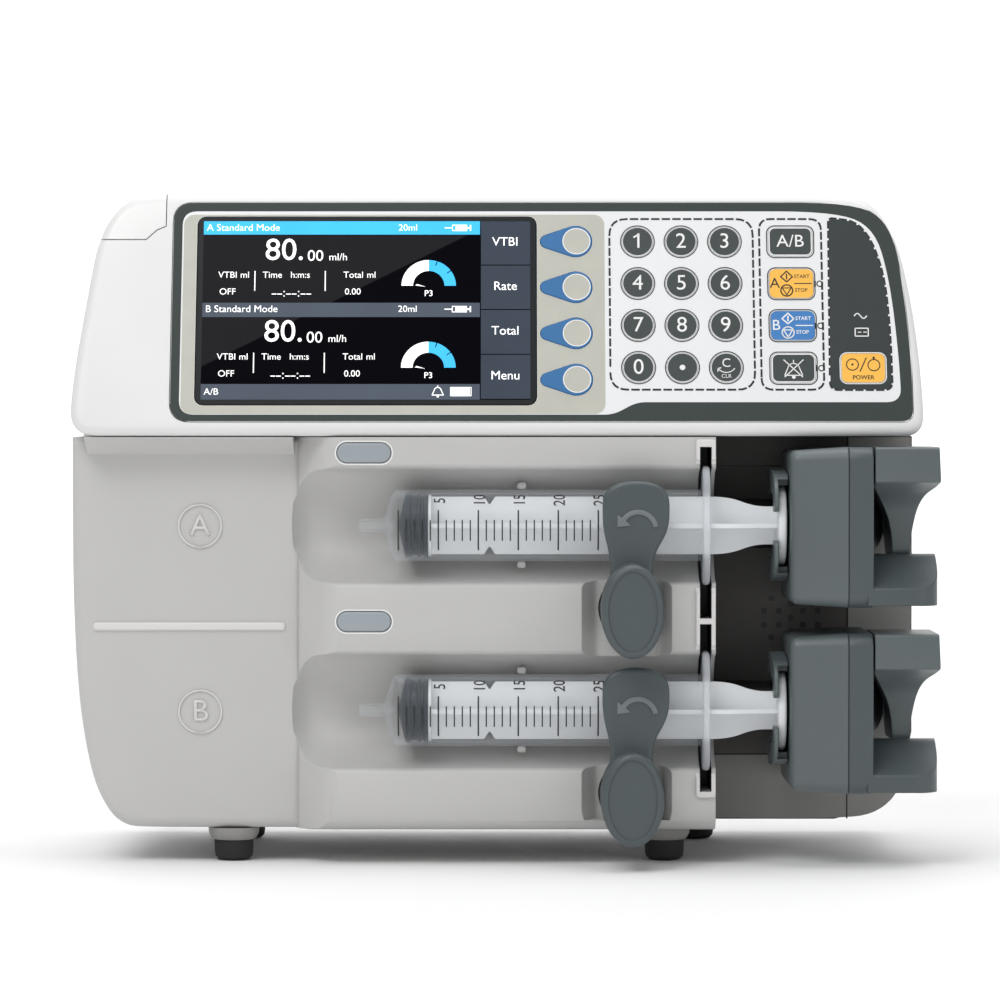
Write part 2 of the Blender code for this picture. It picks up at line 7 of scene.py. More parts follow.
import bmesh
import bpy
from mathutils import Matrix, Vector


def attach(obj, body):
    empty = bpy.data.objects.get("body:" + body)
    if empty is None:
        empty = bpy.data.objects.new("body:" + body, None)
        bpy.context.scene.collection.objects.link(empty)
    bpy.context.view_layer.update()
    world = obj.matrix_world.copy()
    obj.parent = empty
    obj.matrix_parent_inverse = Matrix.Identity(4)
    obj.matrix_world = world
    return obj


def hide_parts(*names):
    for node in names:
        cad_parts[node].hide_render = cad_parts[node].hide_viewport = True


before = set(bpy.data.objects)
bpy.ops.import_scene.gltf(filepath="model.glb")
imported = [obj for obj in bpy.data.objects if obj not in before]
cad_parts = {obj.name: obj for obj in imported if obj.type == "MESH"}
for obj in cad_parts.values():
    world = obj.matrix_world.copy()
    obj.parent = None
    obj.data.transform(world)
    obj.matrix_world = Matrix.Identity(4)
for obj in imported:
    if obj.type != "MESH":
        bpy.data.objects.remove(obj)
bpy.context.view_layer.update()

MM = 0.001
LIFT = 1.8
CHANNELS = {"a": 112.2, "b": 49.9}
TILT = math.radians(18.0)
PANEL_FOOT = Vector((0.0, -50.0, 146.0))
PANEL_UP = Vector((0.0, math.sin(TILT), math.cos(TILT)))
PANEL_OUT = Vector((0.0, -math.cos(TILT), math.sin(TILT)))
FACE = 0.2                  # top of the keypad overlay above the panel
INK = 0.02                  # step between layers of print
SHARP = math.radians(35.0)  # edges over this angle stay sharp
SYRINGE_Y = -42.35
BARREL_R = 12.05
BORE_R = 11.1
DRIVE_Y = -15.0             # axis of the drive tube and the lever's pin
LEAD_Y = 6.0                # axis of the lead screw
CLAW_PIN = (-23.0, 14.0)    # depth, and height from the channel's axis
CLAMP_X = 42.4
CLAMP_DROP = 27.8           # from the channel's axis to the clamp's shaft
LAMP_X = -47.1
LAMP_Z = {"a": 136.7, "b": 80.1}


# ---------------------------------------------------------------- outlines

def circle(a, b, radius, steps=48):
    turns = [2 * math.pi * i / steps for i in range(steps)]
    return [(a + radius * math.cos(t), b + radius * math.sin(t)) for t in turns]


def arc(a, b, radius, start, end, steps=16):
    """Points of an arc, with its angles in degrees."""
    turns = [math.radians(start + (end - start) * i / steps) for i in range(steps + 1)]
    return [(a + radius * math.cos(t), b + radius * math.sin(t)) for t in turns]


def rounded(a, b, width, height, radius, steps=8):
    x = width / 2 - radius
    y = height / 2 - radius
    points = []
    for cx, cy, start in ((x, y, 0), (-x, y, 90), (-x, -y, 180), (x, -y, 270)):
        points += arc(a + cx, b + cy, radius, start, start + 90, steps)
    return points


def rectangle(a0, b0, a1, b1):
    return [(a0, b0), (a1, b0), (a1, b1), (a0, b1)]


def oval(a, b, width, height, steps=64):
    return [(a + x * width / 2, b + y * height / 2) for x, y in circle(0, 0, 1, steps)]


def soften(points, reach=20.0, steps=6):
    """The outline with every corner turned into a curve that starts at most a reach away."""
    smooth = []
    count = len(points)
    for i, here in enumerate(points):
        corner = Vector(here[:2])
        limit = here[2] if len(here) > 2 else reach
        before = Vector(points[i - 1][:2]) - corner
        after = Vector(points[(i + 1) % count][:2]) - corner
        start = corner + before.normalized() * min(limit, before.length * 0.499)
        end = corner + after.normalized() * min(limit, after.length * 0.499)
        for k in range(steps + 1):
            t = k / steps
            point = start * (1 - t) ** 2 + corner * 2 * t * (1 - t) + end * t * t
            if not smooth or (point - Vector(smooth[-1])).length > 0.05:
                smooth.append(tuple(point))
    if (Vector(smooth[0]) - Vector(smooth[-1])).length < 0.05:
        smooth.pop()
    return smooth


def crossing(a, b, c, d):
    """Where the lines through a, b and through c, d meet, or the middle of b and c."""
    first, second = b - a, d - c
    area = first.x * second.y - first.y * second.x
    if abs(area) < 1e-9:
        return (b + c) / 2
    gap = c - a
    return a + first * ((gap.x * second.y - gap.y * second.x) / area)


def untangle(outline, moved):
    """Draws together each run of points whose edges turned round, as at a corner tighter than the inset."""
    count = len(outline)
    for _ in range(12):
        turned = []
        for i in range(count):
            j = (i + 1) % count
            turned.append((moved[j] - moved[i]).dot(outline[j] - outline[i]) < -1e-12)
        if not any(turned) or all(turned):
            break
        start = next(i for i in range(count) if turned[i] and not turned[i - 1])
        end = start
        while turned[(end + 1) % count]:
            end += 1
        before = moved[start - 1], moved[start]
        after = moved[(end + 1) % count], moved[(end + 2) % count]
        meeting = crossing(*before, *after)
        for i in range(start, end + 2):
            moved[i % count] = meeting.copy()
    return moved


def inset(outline, distance):
    """The outline moved inwards by a distance, or outwards where it is negative."""
    if distance == 0:
        return list(outline)
    pairs = zip(outline, outline[1:] + outline[:1])
    turn = 1 if sum(a0 * b1 - a1 * b0 for (a0, b0), (a1, b1) in pairs) > 0 else -1
    corners = [Vector(point) for point in outline]
    moved = []
    for i, corner in enumerate(corners):
        first = (corner - corners[i - 1]).normalized()
        second = (corners[(i + 1) % len(corners)] - corner).normalized()
        normal_a = Vector((-first.y, first.x)) * turn
        normal_b = Vector((-second.y, second.x)) * turn
        bisector = (normal_a + normal_b).normalized()
        moved.append(corner + bisector * distance / max(0.3, bisector.dot(normal_a)))
    return [tuple(point) for point in untangle(corners, moved)]


# ---------------------------------------------------------------- shapes, as (points, faces)

def place(plane, a, b, depth):
    if plane == "front":
        return Vector((a, depth, b))
    if plane == "side":
        return Vector((depth, a, b))
    if plane == "top":
        return Vector((a, b, depth))
    return PANEL_FOOT + Vector((a, 0, 0)) + PANEL_UP * b + PANEL_OUT * depth


def loft(rings):
    count = len(rings[0])
    points = [point for ring in rings for point in ring]
    faces = [tuple(range(count))]
    for level in range(len(rings) - 1):
        low = level * count
        for i in range(count):
            j = (i + 1) % count
            faces.append((low + i, low + j, low + count + j, low + count + i))
    faces.append(tuple(range(len(points) - count, len(points))))
    return points, faces


def stack(plane, levels):
    return loft([[place(plane, a, b, depth) for a, b in outline] for outline, depth in levels])


def prism(plane, outline, low, high):
    return stack(plane, [(outline, low), (outline, high)])


def pillow(plane, outline, low, high, radius, steps=5, both=False):
    """An extrusion whose edges are rounded at the high end, or at both."""
    way = 1 if high > low else -1
    levels = []
    turns = [math.pi / 2 * k / steps for k in range(steps + 1)]
    if both:
        levels += [
            (inset(outline, radius * (1 - math.sin(t))), low + way * radius * (1 - math.cos(t)))
            for t in turns
        ]
    else:
        levels.append((outline, low))
    levels += [
        (inset(outline, radius * (1 - math.cos(t))), high - way * radius * (1 - math.sin(t)))
        for t in turns
    ]
    return stack(plane, levels)


def turned(plane, centre, profile, steps=64):
    levels = [(circle(centre[0], centre[1], radius, steps), depth) for radius, depth in profile]
    return stack(plane, levels)


def block(x, y, z):
    return prism("top", rectangle(x[0], y[0], x[1], y[1]), z[0], z[1])


def group(shapes):
    points, faces = [], []
    for more_points, more_faces in shapes:
        start = len(points)
        points.extend(more_points)
        faces.extend(tuple(start + i for i in face) for face in more_faces)
    return points, faces


def add_object(name, data):
    thing = bpy.data.objects.new(name, data)
    bpy.context.scene.collection.objects.link(thing)
    return thing


def flat_mesh(data):
    """(points, faces) of a flat curve or text, in its own plane."""
    thing = add_object("draft", data)
    bpy.context.view_layer.update()
    mesh = bpy.data.meshes.new_from_object(thing)
    points = [(v.co.x, v.co.y) for v in mesh.vertices]
    faces = [tuple(p.vertices) for p in mesh.polygons]
    bpy.data.objects.remove(thing)
    bpy.data.meshes.remove(mesh)
    return points, faces


def sheet(*outlines):
    """A flat shape inside the first outline and outside the others."""
    curve = bpy.data.curves.new("draft", "CURVE")
    curve.dimensions = "2D"
    curve.fill_mode = "BOTH"
    for outline in outlines:
        spline = curve.splines.new("POLY")
        spline.points.add(len(outline) - 1)
        for point, (a, b) in zip(spline.points, outline):
            point.co = (a, b, 0, 1)
        spline.use_cyclic_u = True
    shape = flat_mesh(curve)
    bpy.data.curves.remove(curve)
    return shape


def letters(text, size, a=0.0, b=0.0, align="CENTER", bold=0.0):
    """Flat text, with its middle height at b."""
    curve = bpy.data.curves.new("draft", "FONT")
    curve.body = text
    curve.size = size
    curve.align_x = align
    curve.align_y = "CENTER"
    curve.offset = bold
    curve.resolution_u = 4
    points, faces = flat_mesh(curve)
    bpy.data.curves.remove(curve)
    return [(a + x, b + y) for x, y in points], faces


def line(points, width, closed=False):
    """A flat band along a path."""
    quads = []
    ends = points[1:] + points[:1] if closed else points[1:]
    for start, end in zip(points, ends):
        p, q = Vector(start), Vector(end)
        along = (q - p).normalized() * width / 2
        side = Vector((-along.y, along.x))
        first, last = p - along * 0.4, q + along * 0.4
        corners = [first + side, first - side, last - side, last + side]
        quads.append(([tuple(c) for c in corners], [(0, 1, 2, 3)]))
    return group(quads)


def dashes(outline, dash, space, width):
    """A dashed line round an outline."""
    quads = []
    drawn, on, left = [], True, dash
    path = list(outline) + [outline[0]]
    for start, end in zip(path, path[1:]):
        p, q = Vector(start), Vector(end)
        if not drawn:
            drawn = [p]
        while (q - p).length > left:
            p = p + (q - p).normalized() * left
            drawn.append(p)
            if on:
                quads.append(line([tuple(d) for d in drawn], width))
            drawn, on = [p], not on
            left = dash if on else space
        left -= (q - p).length
        drawn.append(q)
    return group(quads)


def on_plane(plane, shape, depth):
    """A flat shape laid on a plane at a depth."""
    points, faces = shape
    return [place(plane, a, b, depth) for a, b in points], faces


# ---------------------------------------------------------------- objects

def make(name, shape, material, body="case", solid=True):
    """A piece that rides on a body."""
    points, faces = shape
    mesh = bpy.data.meshes.new(name)
    mesh.from_pydata([(point + Vector((0, 0, LIFT))) * MM for point in points], [], faces)
    work = bmesh.new()
    work.from_mesh(mesh)
    if solid:
        bmesh.ops.remove_doubles(work, verts=work.verts, dist=1e-7)
        bmesh.ops.recalc_face_normals(work, faces=work.faces)
    work.to_mesh(mesh)
    work.free()
    thing = add_object(name, mesh)
    mesh.materials.append(material)
    shade(mesh)
    if body:
        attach(thing, body)
    return thing


def shade(mesh):
    """Smooth shading with sharp edges kept."""
    mesh.shade_smooth()
    mesh.set_sharp_from_angle(angle=SHARP)


def boolean(target, operation, tool):
    """A Boolean of the target with another object, applied at once. It uses up the other."""
    modifier = target.modifiers.new("work", "BOOLEAN")
    modifier.operation = operation
    modifier.solver = "EXACT"
    modifier.object = tool
    bpy.context.view_layer.update()
    evaluated = target.evaluated_get(bpy.context.evaluated_depsgraph_get())
    mesh = bpy.data.meshes.new_from_object(evaluated)
    old = target.data
    target.modifiers.clear()
    target.data = mesh
    mesh.name = old.name
    bpy.data.meshes.remove(old)
    bpy.data.objects.remove(tool)


def combine(target, operation, shapes):
    """A Boolean of the target with each shape in turn."""
    for shape in shapes:
        boolean(target, operation, make("tool", shape, target.data.materials[0], body=None))
    shade(target.data)


def print_on(name, shapes, material, body="case", layer=1, plane="panel", face=FACE):
    """Ink on the operating panel, or on another plane."""
    flat = group([on_plane(plane, shape, face + layer * INK) for shape in shapes])
    thing = make(name, flat, material, body, solid=False)
    facing = PANEL_OUT if plane == "panel" else Vector((0, -1, 0))
    work = bmesh.new()
    work.from_mesh(thing.data)
    for polygon in work.faces:
        polygon.normal_update()
        if polygon.normal.dot(facing) < 0:
            polygon.normal_flip()
    work.to_mesh(thing.data)
    work.free()
    return thing


# ---------------------------------------------------------------- materials

class Nodes:
    """A material under construction."""

    def __init__(self, name):
        self.material = bpy.data.materials.new(name)
        self.material.use_nodes = True
        self.tree = self.material.node_tree
        self.shader = self.tree.nodes["Principled BSDF"]

    def add(self, kind, **values):
        node = self.tree.nodes.new(kind)
        for key, value in values.items():
            if hasattr(node, key):
                setattr(node, key, value)
            else:
                node.inputs[key.replace("_", " ")].default_value = value
        return node

    def link(self, source, target):
        self.tree.links.new(source, target)

    def set(self, **values):
        for key, value in values.items():
            self.shader.inputs[key.replace("_", " ")].default_value = value


def grain(nodes, base, spread, size, bump, edge=0.0):
    """Colour that varies a little over the piece, and a fine surface grain."""
    coords = nodes.add("ShaderNodeTexCoord")
    cloud = nodes.add("ShaderNodeTexNoise", Scale=size, Detail=3.0)
    nodes.link(coords.outputs["Object"], cloud.inputs["Vector"])
    ramp = nodes.add("ShaderNodeValToRGB")
    ramp.color_ramp.elements[0].position = 0.3
    ramp.color_ramp.elements[1].position = 0.7
    ramp.color_ramp.elements[0].color = (*[c * (1 - spread) for c in base], 1)
    ramp.color_ramp.elements[1].color = (*[min(1.0, c * (1 + spread)) for c in base], 1)
    nodes.link(cloud.outputs["Fac"], ramp.inputs["Fac"])
    nodes.link(ramp.outputs["Color"], nodes.shader.inputs["Base Color"])
    speckle = nodes.add("ShaderNodeTexNoise", Scale=2600.0, Detail=2.0)
    nodes.link(coords.outputs["Object"], speckle.inputs["Vector"])
    relief = nodes.add("ShaderNodeBump", Strength=bump, Distance=0.0001)
    nodes.link(speckle.outputs["Fac"], relief.inputs["Height"])
    if edge:
        soft = nodes.add("ShaderNodeBevel", samples=4, Radius=edge * MM)
        nodes.link(soft.outputs["Normal"], relief.inputs["Normal"])
    nodes.link(relief.outputs["Normal"], nodes.shader.inputs["Normal"])
    return ramp


def plastic(name, base, roughness=0.45, spread=0.02, size=30.0, bump=0.12, edge=0.5, **more):
    nodes = Nodes(name)
    grain(nodes, base, spread, size, bump, edge=edge)
    nodes.set(Roughness=roughness, **more)
    return nodes.material


def ink(name, base, roughness=0.4):
    return plastic(name, base, roughness, spread=0.03, size=120.0, bump=0.03, edge=0.0)


def glow(name, base, strength):
    """A lit patch of the screen."""
    nodes = Nodes(name)
    ramp = grain(nodes, base, 0.04, 60.0, 0.0)
    nodes.link(ramp.outputs["Color"], nodes.shader.inputs["Emission Color"])
    nodes.set(Roughness=0.3, Emission_Strength=strength, Specular_IOR_Level=0.05)
    return nodes.material


def paint(node, material):
    """Show a CAD node in a material."""
    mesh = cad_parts[node].data
    mesh.materials.clear()
    mesh.materials.append(material)


def screen_black():
    """Unlit glass with a diagonal sheen over its upper left part."""
    nodes = Nodes("screen_black")
    coords = nodes.add("ShaderNodeTexCoord")
    split = nodes.add("ShaderNodeSeparateXYZ")
    nodes.link(coords.outputs["Object"], split.inputs["Vector"])
    slope = nodes.add("ShaderNodeMath", operation="MULTIPLY_ADD")
    slope.inputs[1].default_value = -0.50
    nodes.link(split.outputs["X"], slope.inputs[0])
    nodes.link(split.outputs["Z"], slope.inputs[2])
    ramp = nodes.add("ShaderNodeMapRange")
    ramp.inputs["From Min"].default_value = 0.2182
    ramp.inputs["From Max"].default_value = 0.2187
    nodes.link(slope.outputs[0], ramp.inputs["Value"])
    colour = nodes.add("ShaderNodeMix", data_type="RGBA")
    colour.inputs[6].default_value = (0.0012, 0.0012, 0.0025, 1)
    colour.inputs[7].default_value = (0.0125, 0.0125, 0.014, 1)
    nodes.link(ramp.outputs["Result"], colour.inputs[0])
    nodes.link(colour.outputs[2], nodes.shader.inputs["Base Color"])
    nodes.link(colour.outputs[2], nodes.shader.inputs["Emission Color"])
    nodes.set(Roughness=0.3, Emission_Strength=0.5, Specular_IOR_Level=0.02)
    return nodes.material


def clear_plastic(name, tint, roughness, alpha):
    """Clear moulded plastic, thin enough to be drawn as a part-covered skin."""
    nodes = Nodes(name)
    grain(nodes, tint, 0.02, 60.0, 0.03)
    facing = nodes.add("ShaderNodeLayerWeight", Blend=0.5)
    edge = nodes.add("ShaderNodeMath", operation="POWER")
    edge.inputs[1].default_value = 3.0
    nodes.link(facing.outputs["Facing"], edge.inputs[0])
    cover = nodes.add("ShaderNodeMapRange")
    cover.inputs["To Min"].default_value = alpha
    cover.inputs["To Max"].default_value = min(1.0, alpha + 0.5)
    nodes.link(edge.outputs[0], cover.inputs["Value"])
    nodes.link(cover.outputs["Result"], nodes.shader.inputs["Alpha"])
    nodes.set(Roughness=roughness, Specular_IOR_Level=0.6)
    return nodes.material


WHITE = plastic("white_abs", (0.76, 0.762, 0.758), 0.42, spread=0.012)
PALE = plastic("pale_abs", (0.55, 0.545, 0.535), 0.45, spread=0.015)
# Dark grey of the drive bay cover: painted shade, the recess's pale plastic drawn dark.
BAY_SHADE = plastic("bay_painted_shade", (0.095, 0.088, 0.084), 0.55, bump=0.2)
# Mid grey of the foot collars' own colour, and of the edge beside the drive bay, where it is painted light.
EDGE_LIGHT_AND_COLLAR = plastic("collar_grey_and_painted_edge_light", (0.30, 0.295, 0.285), 0.55, bump=0.2)
# A lighter copy of the bed's plastic: painted highlight on the raised slot rims, channel letters and rib.
RAISED_HIGHLIGHT = plastic("raised_parts_painted_highlight", (0.72, 0.71, 0.70), 0.4, spread=0.012, edge=0.2)
SLATE = plastic("slate_abs", (0.105, 0.126, 0.132), 0.38, spread=0.03, edge=0.6)
# Lighter than the arm it is raised from: painted highlight on the moulded arrow.
ARROW_HIGHLIGHT = plastic("arrow_painted_highlight", (0.17, 0.195, 0.20), 0.4, bump=0.02, edge=0.0)
SLATE_GRIP = plastic("slate_grip", (0.072, 0.090, 0.096), 0.42, spread=0.03, edge=0.6)
SLATE_DARK = plastic("dark_slate", (0.03, 0.034, 0.035), 0.5)
BLACK = plastic("black_plastic", (0.012, 0.012, 0.013), 0.4)
RUBBER = plastic("foot_rubber", (0.018, 0.018, 0.02), 0.75, bump=0.3)
STOPPER = plastic("stopper_rubber", (0.004, 0.012, 0.022), 0.4, bump=0.05, edge=0.0, Specular_IOR_Level=0.2)
FOIL = plastic("keypad_foil", (0.80, 0.81, 0.82), 0.35, bump=0.05, edge=0.0)
BAND = ink("band_ink", (0.024, 0.035, 0.032), 0.6)
FIELD = ink("field_ink", (0.022, 0.030, 0.030), 0.6)
BEIGE = ink("beige_ink", (0.50, 0.50, 0.44))
DARK_INK = ink("dark_ink", (0.012, 0.015, 0.016))
WHITE_INK = ink("white_ink", (0.85, 0.85, 0.85))
KEY_DARK = ink("key_charcoal", (0.042, 0.052, 0.052))
KEY_RIM = ink("key_rim", (0.90, 0.905, 0.91))
ORANGE = ink("key_orange", (0.94, 0.50, 0.075))
BLUE = ink("key_blue", (0.045, 0.20, 0.50))
SOFT_BLUE = ink("soft_key_blue", (0.025, 0.15, 0.37))
SCREEN = screen_black()
BEZEL = plastic("bezel_black", (0.012, 0.014, 0.016), 0.4, bump=0.02, edge=0.3, Specular_IOR_Level=0.2)
CYAN = glow("screen_cyan", (0.055, 0.45, 0.80), 0.45)
SCREEN_GREY = glow("screen_grey", (0.07, 0.085, 0.11), 0.35)
SCREEN_CELL = glow("screen_cell", (0.042, 0.053, 0.072), 0.35)
SCREEN_WHITE = glow("screen_white", (0.9, 0.9, 0.9), 0.7)
CLEAR = clear_plastic("barrel_plastic", (0.82, 0.87, 0.92), 0.10, 0.045)
CLEAR_THICK = clear_plastic("flange_plastic", (0.82, 0.86, 0.90), 0.15, 0.45)
MILKY = plastic("plunger_plastic", (0.84, 0.86, 0.88), 0.3, bump=0.02, edge=0.3)
LENS = plastic("lens_plastic", (0.34, 0.38, 0.41), 0.3, bump=0.02)
LENS_WHITE = plastic("alarm_lens", (0.75, 0.75, 0.745), 0.3, bump=0.02)
MARK = ink("mark_ink", (0.01, 0.01, 0.012))
STEEL = plastic("steel", (0.5, 0.5, 0.51), 0.3, bump=0.1, Metallic=1.0)
BOARD = plastic("board_green", (0.02, 0.16, 0.06), 0.5)


# ---------------------------------------------------------------- case

def panel_y(z, depth=0.0):
    return PANEL_FOOT.y + (z - PANEL_FOOT.z) * math.tan(TILT) + depth


CASE_LEFT = [
    (-118.0, 9.7, 10), (-129.5, 11.0, 10), (-137.5, 21.0), (-141.5, 35.0), (-144.3, 56.0),
    (-145.9, 84.0), (-146.2, 110.0),
]
UPPER_LEFT = [(-145.2, 162.0), (-141.5, 187.0), (-137.6, 211.5), (-128.0, 224.0), (-112.0, 225.0)]
UPPER_RIGHT = [(112.0, 225.0), (124.5, 223.0), (133.6, 209.0), (138.2, 185.0), (140.6, 160.0)]
CASE_RIGHT = [(140.7, 45.0), (139.0, 22.0), (129.0, 10.8), (112.0, 9.7)]
UPPER = soften([(-146.3, 142.3, 9.5), (140.8, 142.3, 7.0)] + UPPER_RIGHT[::-1] + UPPER_LEFT[::-1])
OVERLAY = soften([
    (-112.3, 1.2, 7.0), (137.0, 1.2, 4.0), (136.9, 24.5), (134.6, 50.5), (131.5, 70.5),
    (121.0, 79.4), (-112.3, 79.4, 7.0),
])
WINDOW = rounded(-46.6, 40.6, 115.2, 67.6, 3.0)


def upper_body():
    """The upper case as a solid, its front edges rounded."""
    radius, steps = 3.4, 6
    rings = []
    for k in range(steps + 1):
        t = math.pi / 2 * k / steps
        outline = inset(UPPER, radius * (1 - math.sin(t)))
        depth = radius * (1 - math.cos(t))
        rings.append([Vector((x, panel_y(z, depth), z)) for x, z in outline])
    rings.append([Vector((x, -1.3, z)) for x, z in UPPER])
    return loft(rings)


def lens_region(grow):
    """The space at the upper left that the alarm lamp's lens fills."""
    outline = [(-160, 208.8), (-121.5, 208.8), (-118.0, 212.0), (-114.8, 213.4), (-114.8, 240), (-160, 240)]
    return prism("front", inset(outline, -grow), -70.0, -8.0 + grow)


def make_upper_case():
    case = make("upper_case_shell", upper_body(), WHITE)
    pocket = prism("panel", inset(OVERLAY, -0.25), -2.3, 8.0)
    combine(case, "DIFFERENCE", [pocket, prism("panel", WINDOW, -13.0, 4.0), lens_region(0.12)])
    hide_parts("upper_front_case")
    lens = make("alarm_lens", upper_body(), LENS_WHITE)
    combine(lens, "INTERSECT", [lens_region(-0.12)])
    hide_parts("alarm_lamp_lens")


def trough(axis):
    """The space of a trough: rounded lips, a round bottom and a left end that rises to the panel."""
    upper = [(-56.0, 24.0), (-50.3, 22.0), (-50.0, 20.7), (-49.3, 19.6), (-48.0, 18.97)]
    bottom = arc(-49.0, 0.0, 19.0, 86.0, -86.0, 40)
    lower = [(y, -z) for y, z in reversed(upper)]
    outline = [(y, axis + z) for y, z in upper + bottom[1:-1] + lower]
    rise = [(-72.6, 11.0), (-71.2, 6.2), (-69.3, 3.6), (-67.2, 1.5), (-64.8, 0.4), (-61.0, 0.0)]
    rise.append((80.0, 0.0))
    return stack("side", [([(y - forward, z) for y, z in outline], x) for x, forward in rise])


def make_lower_case():
    left = [
        (-118.0, 9.7, 10), (-130.5, 10.2, 10), (-138.2, 22.0), (-142.0, 38.0), (-144.6, 58.0),
        (-145.9, 84.0), (-146.2, 110.0), (-146.2, 142.0, 0.5), (-68.0, 142.0, 0.5), (-68.0, 9.7, 0.5),
    ]
    case = make("lower_case_shell", pillow("front", soften(left), -1.3, -38.0, 4.0, 6), PALE)
    bed = [(-1.3, 9.7), (-43.0, 9.7), (-46.5, 10.6), (-49.0, 13.0), (-50.0, 16.5)]
    bed += [(-50.0, 142.0), (-1.3, 142.0)]
    plan = [(-70.6, -1.3, 0.5), (-70.6, -36.5, 3.0), (-58.5, -50.2, 5.0), (70.9, -50.2, 0.6)]
    plan = soften(plan + [(70.9, -1.3, 0.5)], steps=5)
    lip = [(-37.0, 135.5), (-38.6, 136.6), (-48.9, 141.4), (-48.9, 142.0), (-37.0, 142.0)]
    bed_solid = make("bed_solid", prism("side", bed, -72.0, 70.9), PALE, body=None)
    combine(bed_solid, "INTERSECT", [prism("top", plan, 0.0, 150.0)])
    boolean(case, "UNION", bed_solid)
    combine(case, "UNION", [prism("side", lip, -141.0, -71.0)])
    cutters = []
    for channel, axis in CHANNELS.items():
        recess_foot = {"a": 65.3, "b": 13.4}[channel]
        flange_slot = {"a": (81.0, 138.7), "b": (23.0, 79.5)}[channel]
        recess = soften([(24.6, -51.5, 1), (31.0, -44.0, 1.5), (52.0, -44.0, 1.5), (57.2, -51.5, 1)], 1.5, 3)
        shaft = (CLAMP_X, axis - CLAMP_DROP)
        cutters += [
            trough(axis),
            prism("top", recess, recess_foot, axis - 16.4),
            turned("front", shaft, [(10.8, -60.0), (10.8, -38.0)]),
            turned("front", shaft, [(7.3, -40.0), (7.3, -20.0)]),
            block((65.5, 69.5), (-60.0, -26.5), flange_slot),
            turned("side", (DRIVE_Y, axis), [(8.9, 55.0), (8.9, 80.0)]),
            prism("front", rounded(LAMP_X, LAMP_Z[channel], 18.6, 7.2, 3.6), -55.0, -48.4),
        ]
    combine(case, "DIFFERENCE", cutters)
    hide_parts("lower_front_case")


def make_bed_stops():
    """Small stops on the trough wall, above and below each barrel."""
    for channel, axis in CHANNELS.items():
        outlines = [rounded(5.8, axis + side * 13.3, 3.1, 2.3, 1.0) for side in (-1, 1)]
        stops = [pillow("front", outline, -35.5, -41.5, 0.5, 3) for outline in outlines]
        make(f"bed_stops_{channel}", group(stops), PALE)


def make_slot_rims():
    """Raised rims round the flange slots, drawn lighter than the bed as painted highlight, and black sheets
    inside the slots as painted shade.
    """
    outer = soften(rectangle(64.2, 21.0, 70.8, 141.2), 1.2, 4)
    rims = make("slot_rims", pillow("front", outer, -49.9, -51.0, 0.35, 3), RAISED_HIGHLIGHT)
    holes = [rectangle(65.5, low, 69.4, high) for low, high in ((23.0, 79.3), (81.2, 138.7))]
    gaps = [trough(axis) for axis in CHANNELS.values()]
    combine(rims, "DIFFERENCE", [prism("front", hole, -60.0, -40.0) for hole in holes] + gaps)
    # Black sheets on the walls and back of each slot: painted shade inside the slots.
    slot_shades = []
    for low, high in ((23.1, 79.3), (81.2, 138.6)):
        slot_shades += [block(x, (-49.5, -26.7), (low, high)) for x in ((65.55, 65.75), (69.25, 69.45))]
        slot_shades.append(block((65.55, 69.45), (-26.9, -26.6), (low, high)))
    slot_shade = make("slot_painted_shade", group(slot_shades), BLACK)
    combine(slot_shade, "DIFFERENCE", gaps)


def make_left_panel_marks():
    """Raised channel letters in their rings, and the rib between the channels, drawn lighter than the panel
    as painted highlight.
    """
    for label, z in (("A", 111.9), ("B", 49.1)):
        ring = sheet(circle(-102.8, z, 7.5, 64), circle(-102.8, z, 6.9, 64))
        shapes = [on_plane("front", flat, -38.35) for flat in (ring, letters(label, 10.5, -102.8, z))]
        raised = make(f"channel_letter_{label.lower()}", group(shapes), RAISED_HIGHLIGHT, solid=False)
        thick = raised.modifiers.new("thick", "SOLIDIFY")
        thick.thickness = 0.4 * MM
        thick.offset = 0.0
    rib = soften(rectangle(-139.0, 76.6, -74.0, 79.4), 1.3, 5)
    make("panel_rib", pillow("front", rib, -37.5, -39.0, 0.8, 4), RAISED_HIGHLIGHT)


REAR_SCREWS = [(-126.0, 40.0), (-126.0, 195.0), (124.0, 60.0), (124.0, 195.0), (0.0, 205.0)]


def make_rear_case():
    outline = soften(CASE_LEFT + UPPER_LEFT + UPPER_RIGHT + CASE_RIGHT)
    case = make("rear_case_shell", pillow("front", outline, -1.0, 73.5, 6.0, 7), WHITE)
    pad = soften(rectangle(-30.0, 85.0, 30.0, 145.0), 3.0, 5)
    slits = [rounded(x + 1.5, 107.5, 3.0, 35.0, 1.45, 4) for x in range(-95, -55, 8)]
    vents = [prism("front", slit, 60.0, 80.0) for slit in slits]
    corners = [(x, 115 + z) for x in (-20, 20) for z in (-20, 20)]
    bolts = [turned("front", corner, [(2.15, 60.0), (2.15, 80.0)], 32) for corner in corners]
    mouth = soften([(90, 25), (120, 25), (120, 43), (115, 48), (95, 48), (90, 43)], 1, 3)
    inlet = prism("front", mouth, 61.0, 80.0)
    screws = [turned("front", (x, z), [(3.6, 66.0), (3.6, 80.0)], 40) for x, z in REAR_SCREWS]
    combine(case, "UNION", [pillow("front", pad, 70.0, 75.0, 0.6, 3)])
    combine(case, "DIFFERENCE", [group(vents), group(bolts), inlet, group(screws)])
    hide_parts("rear_case")


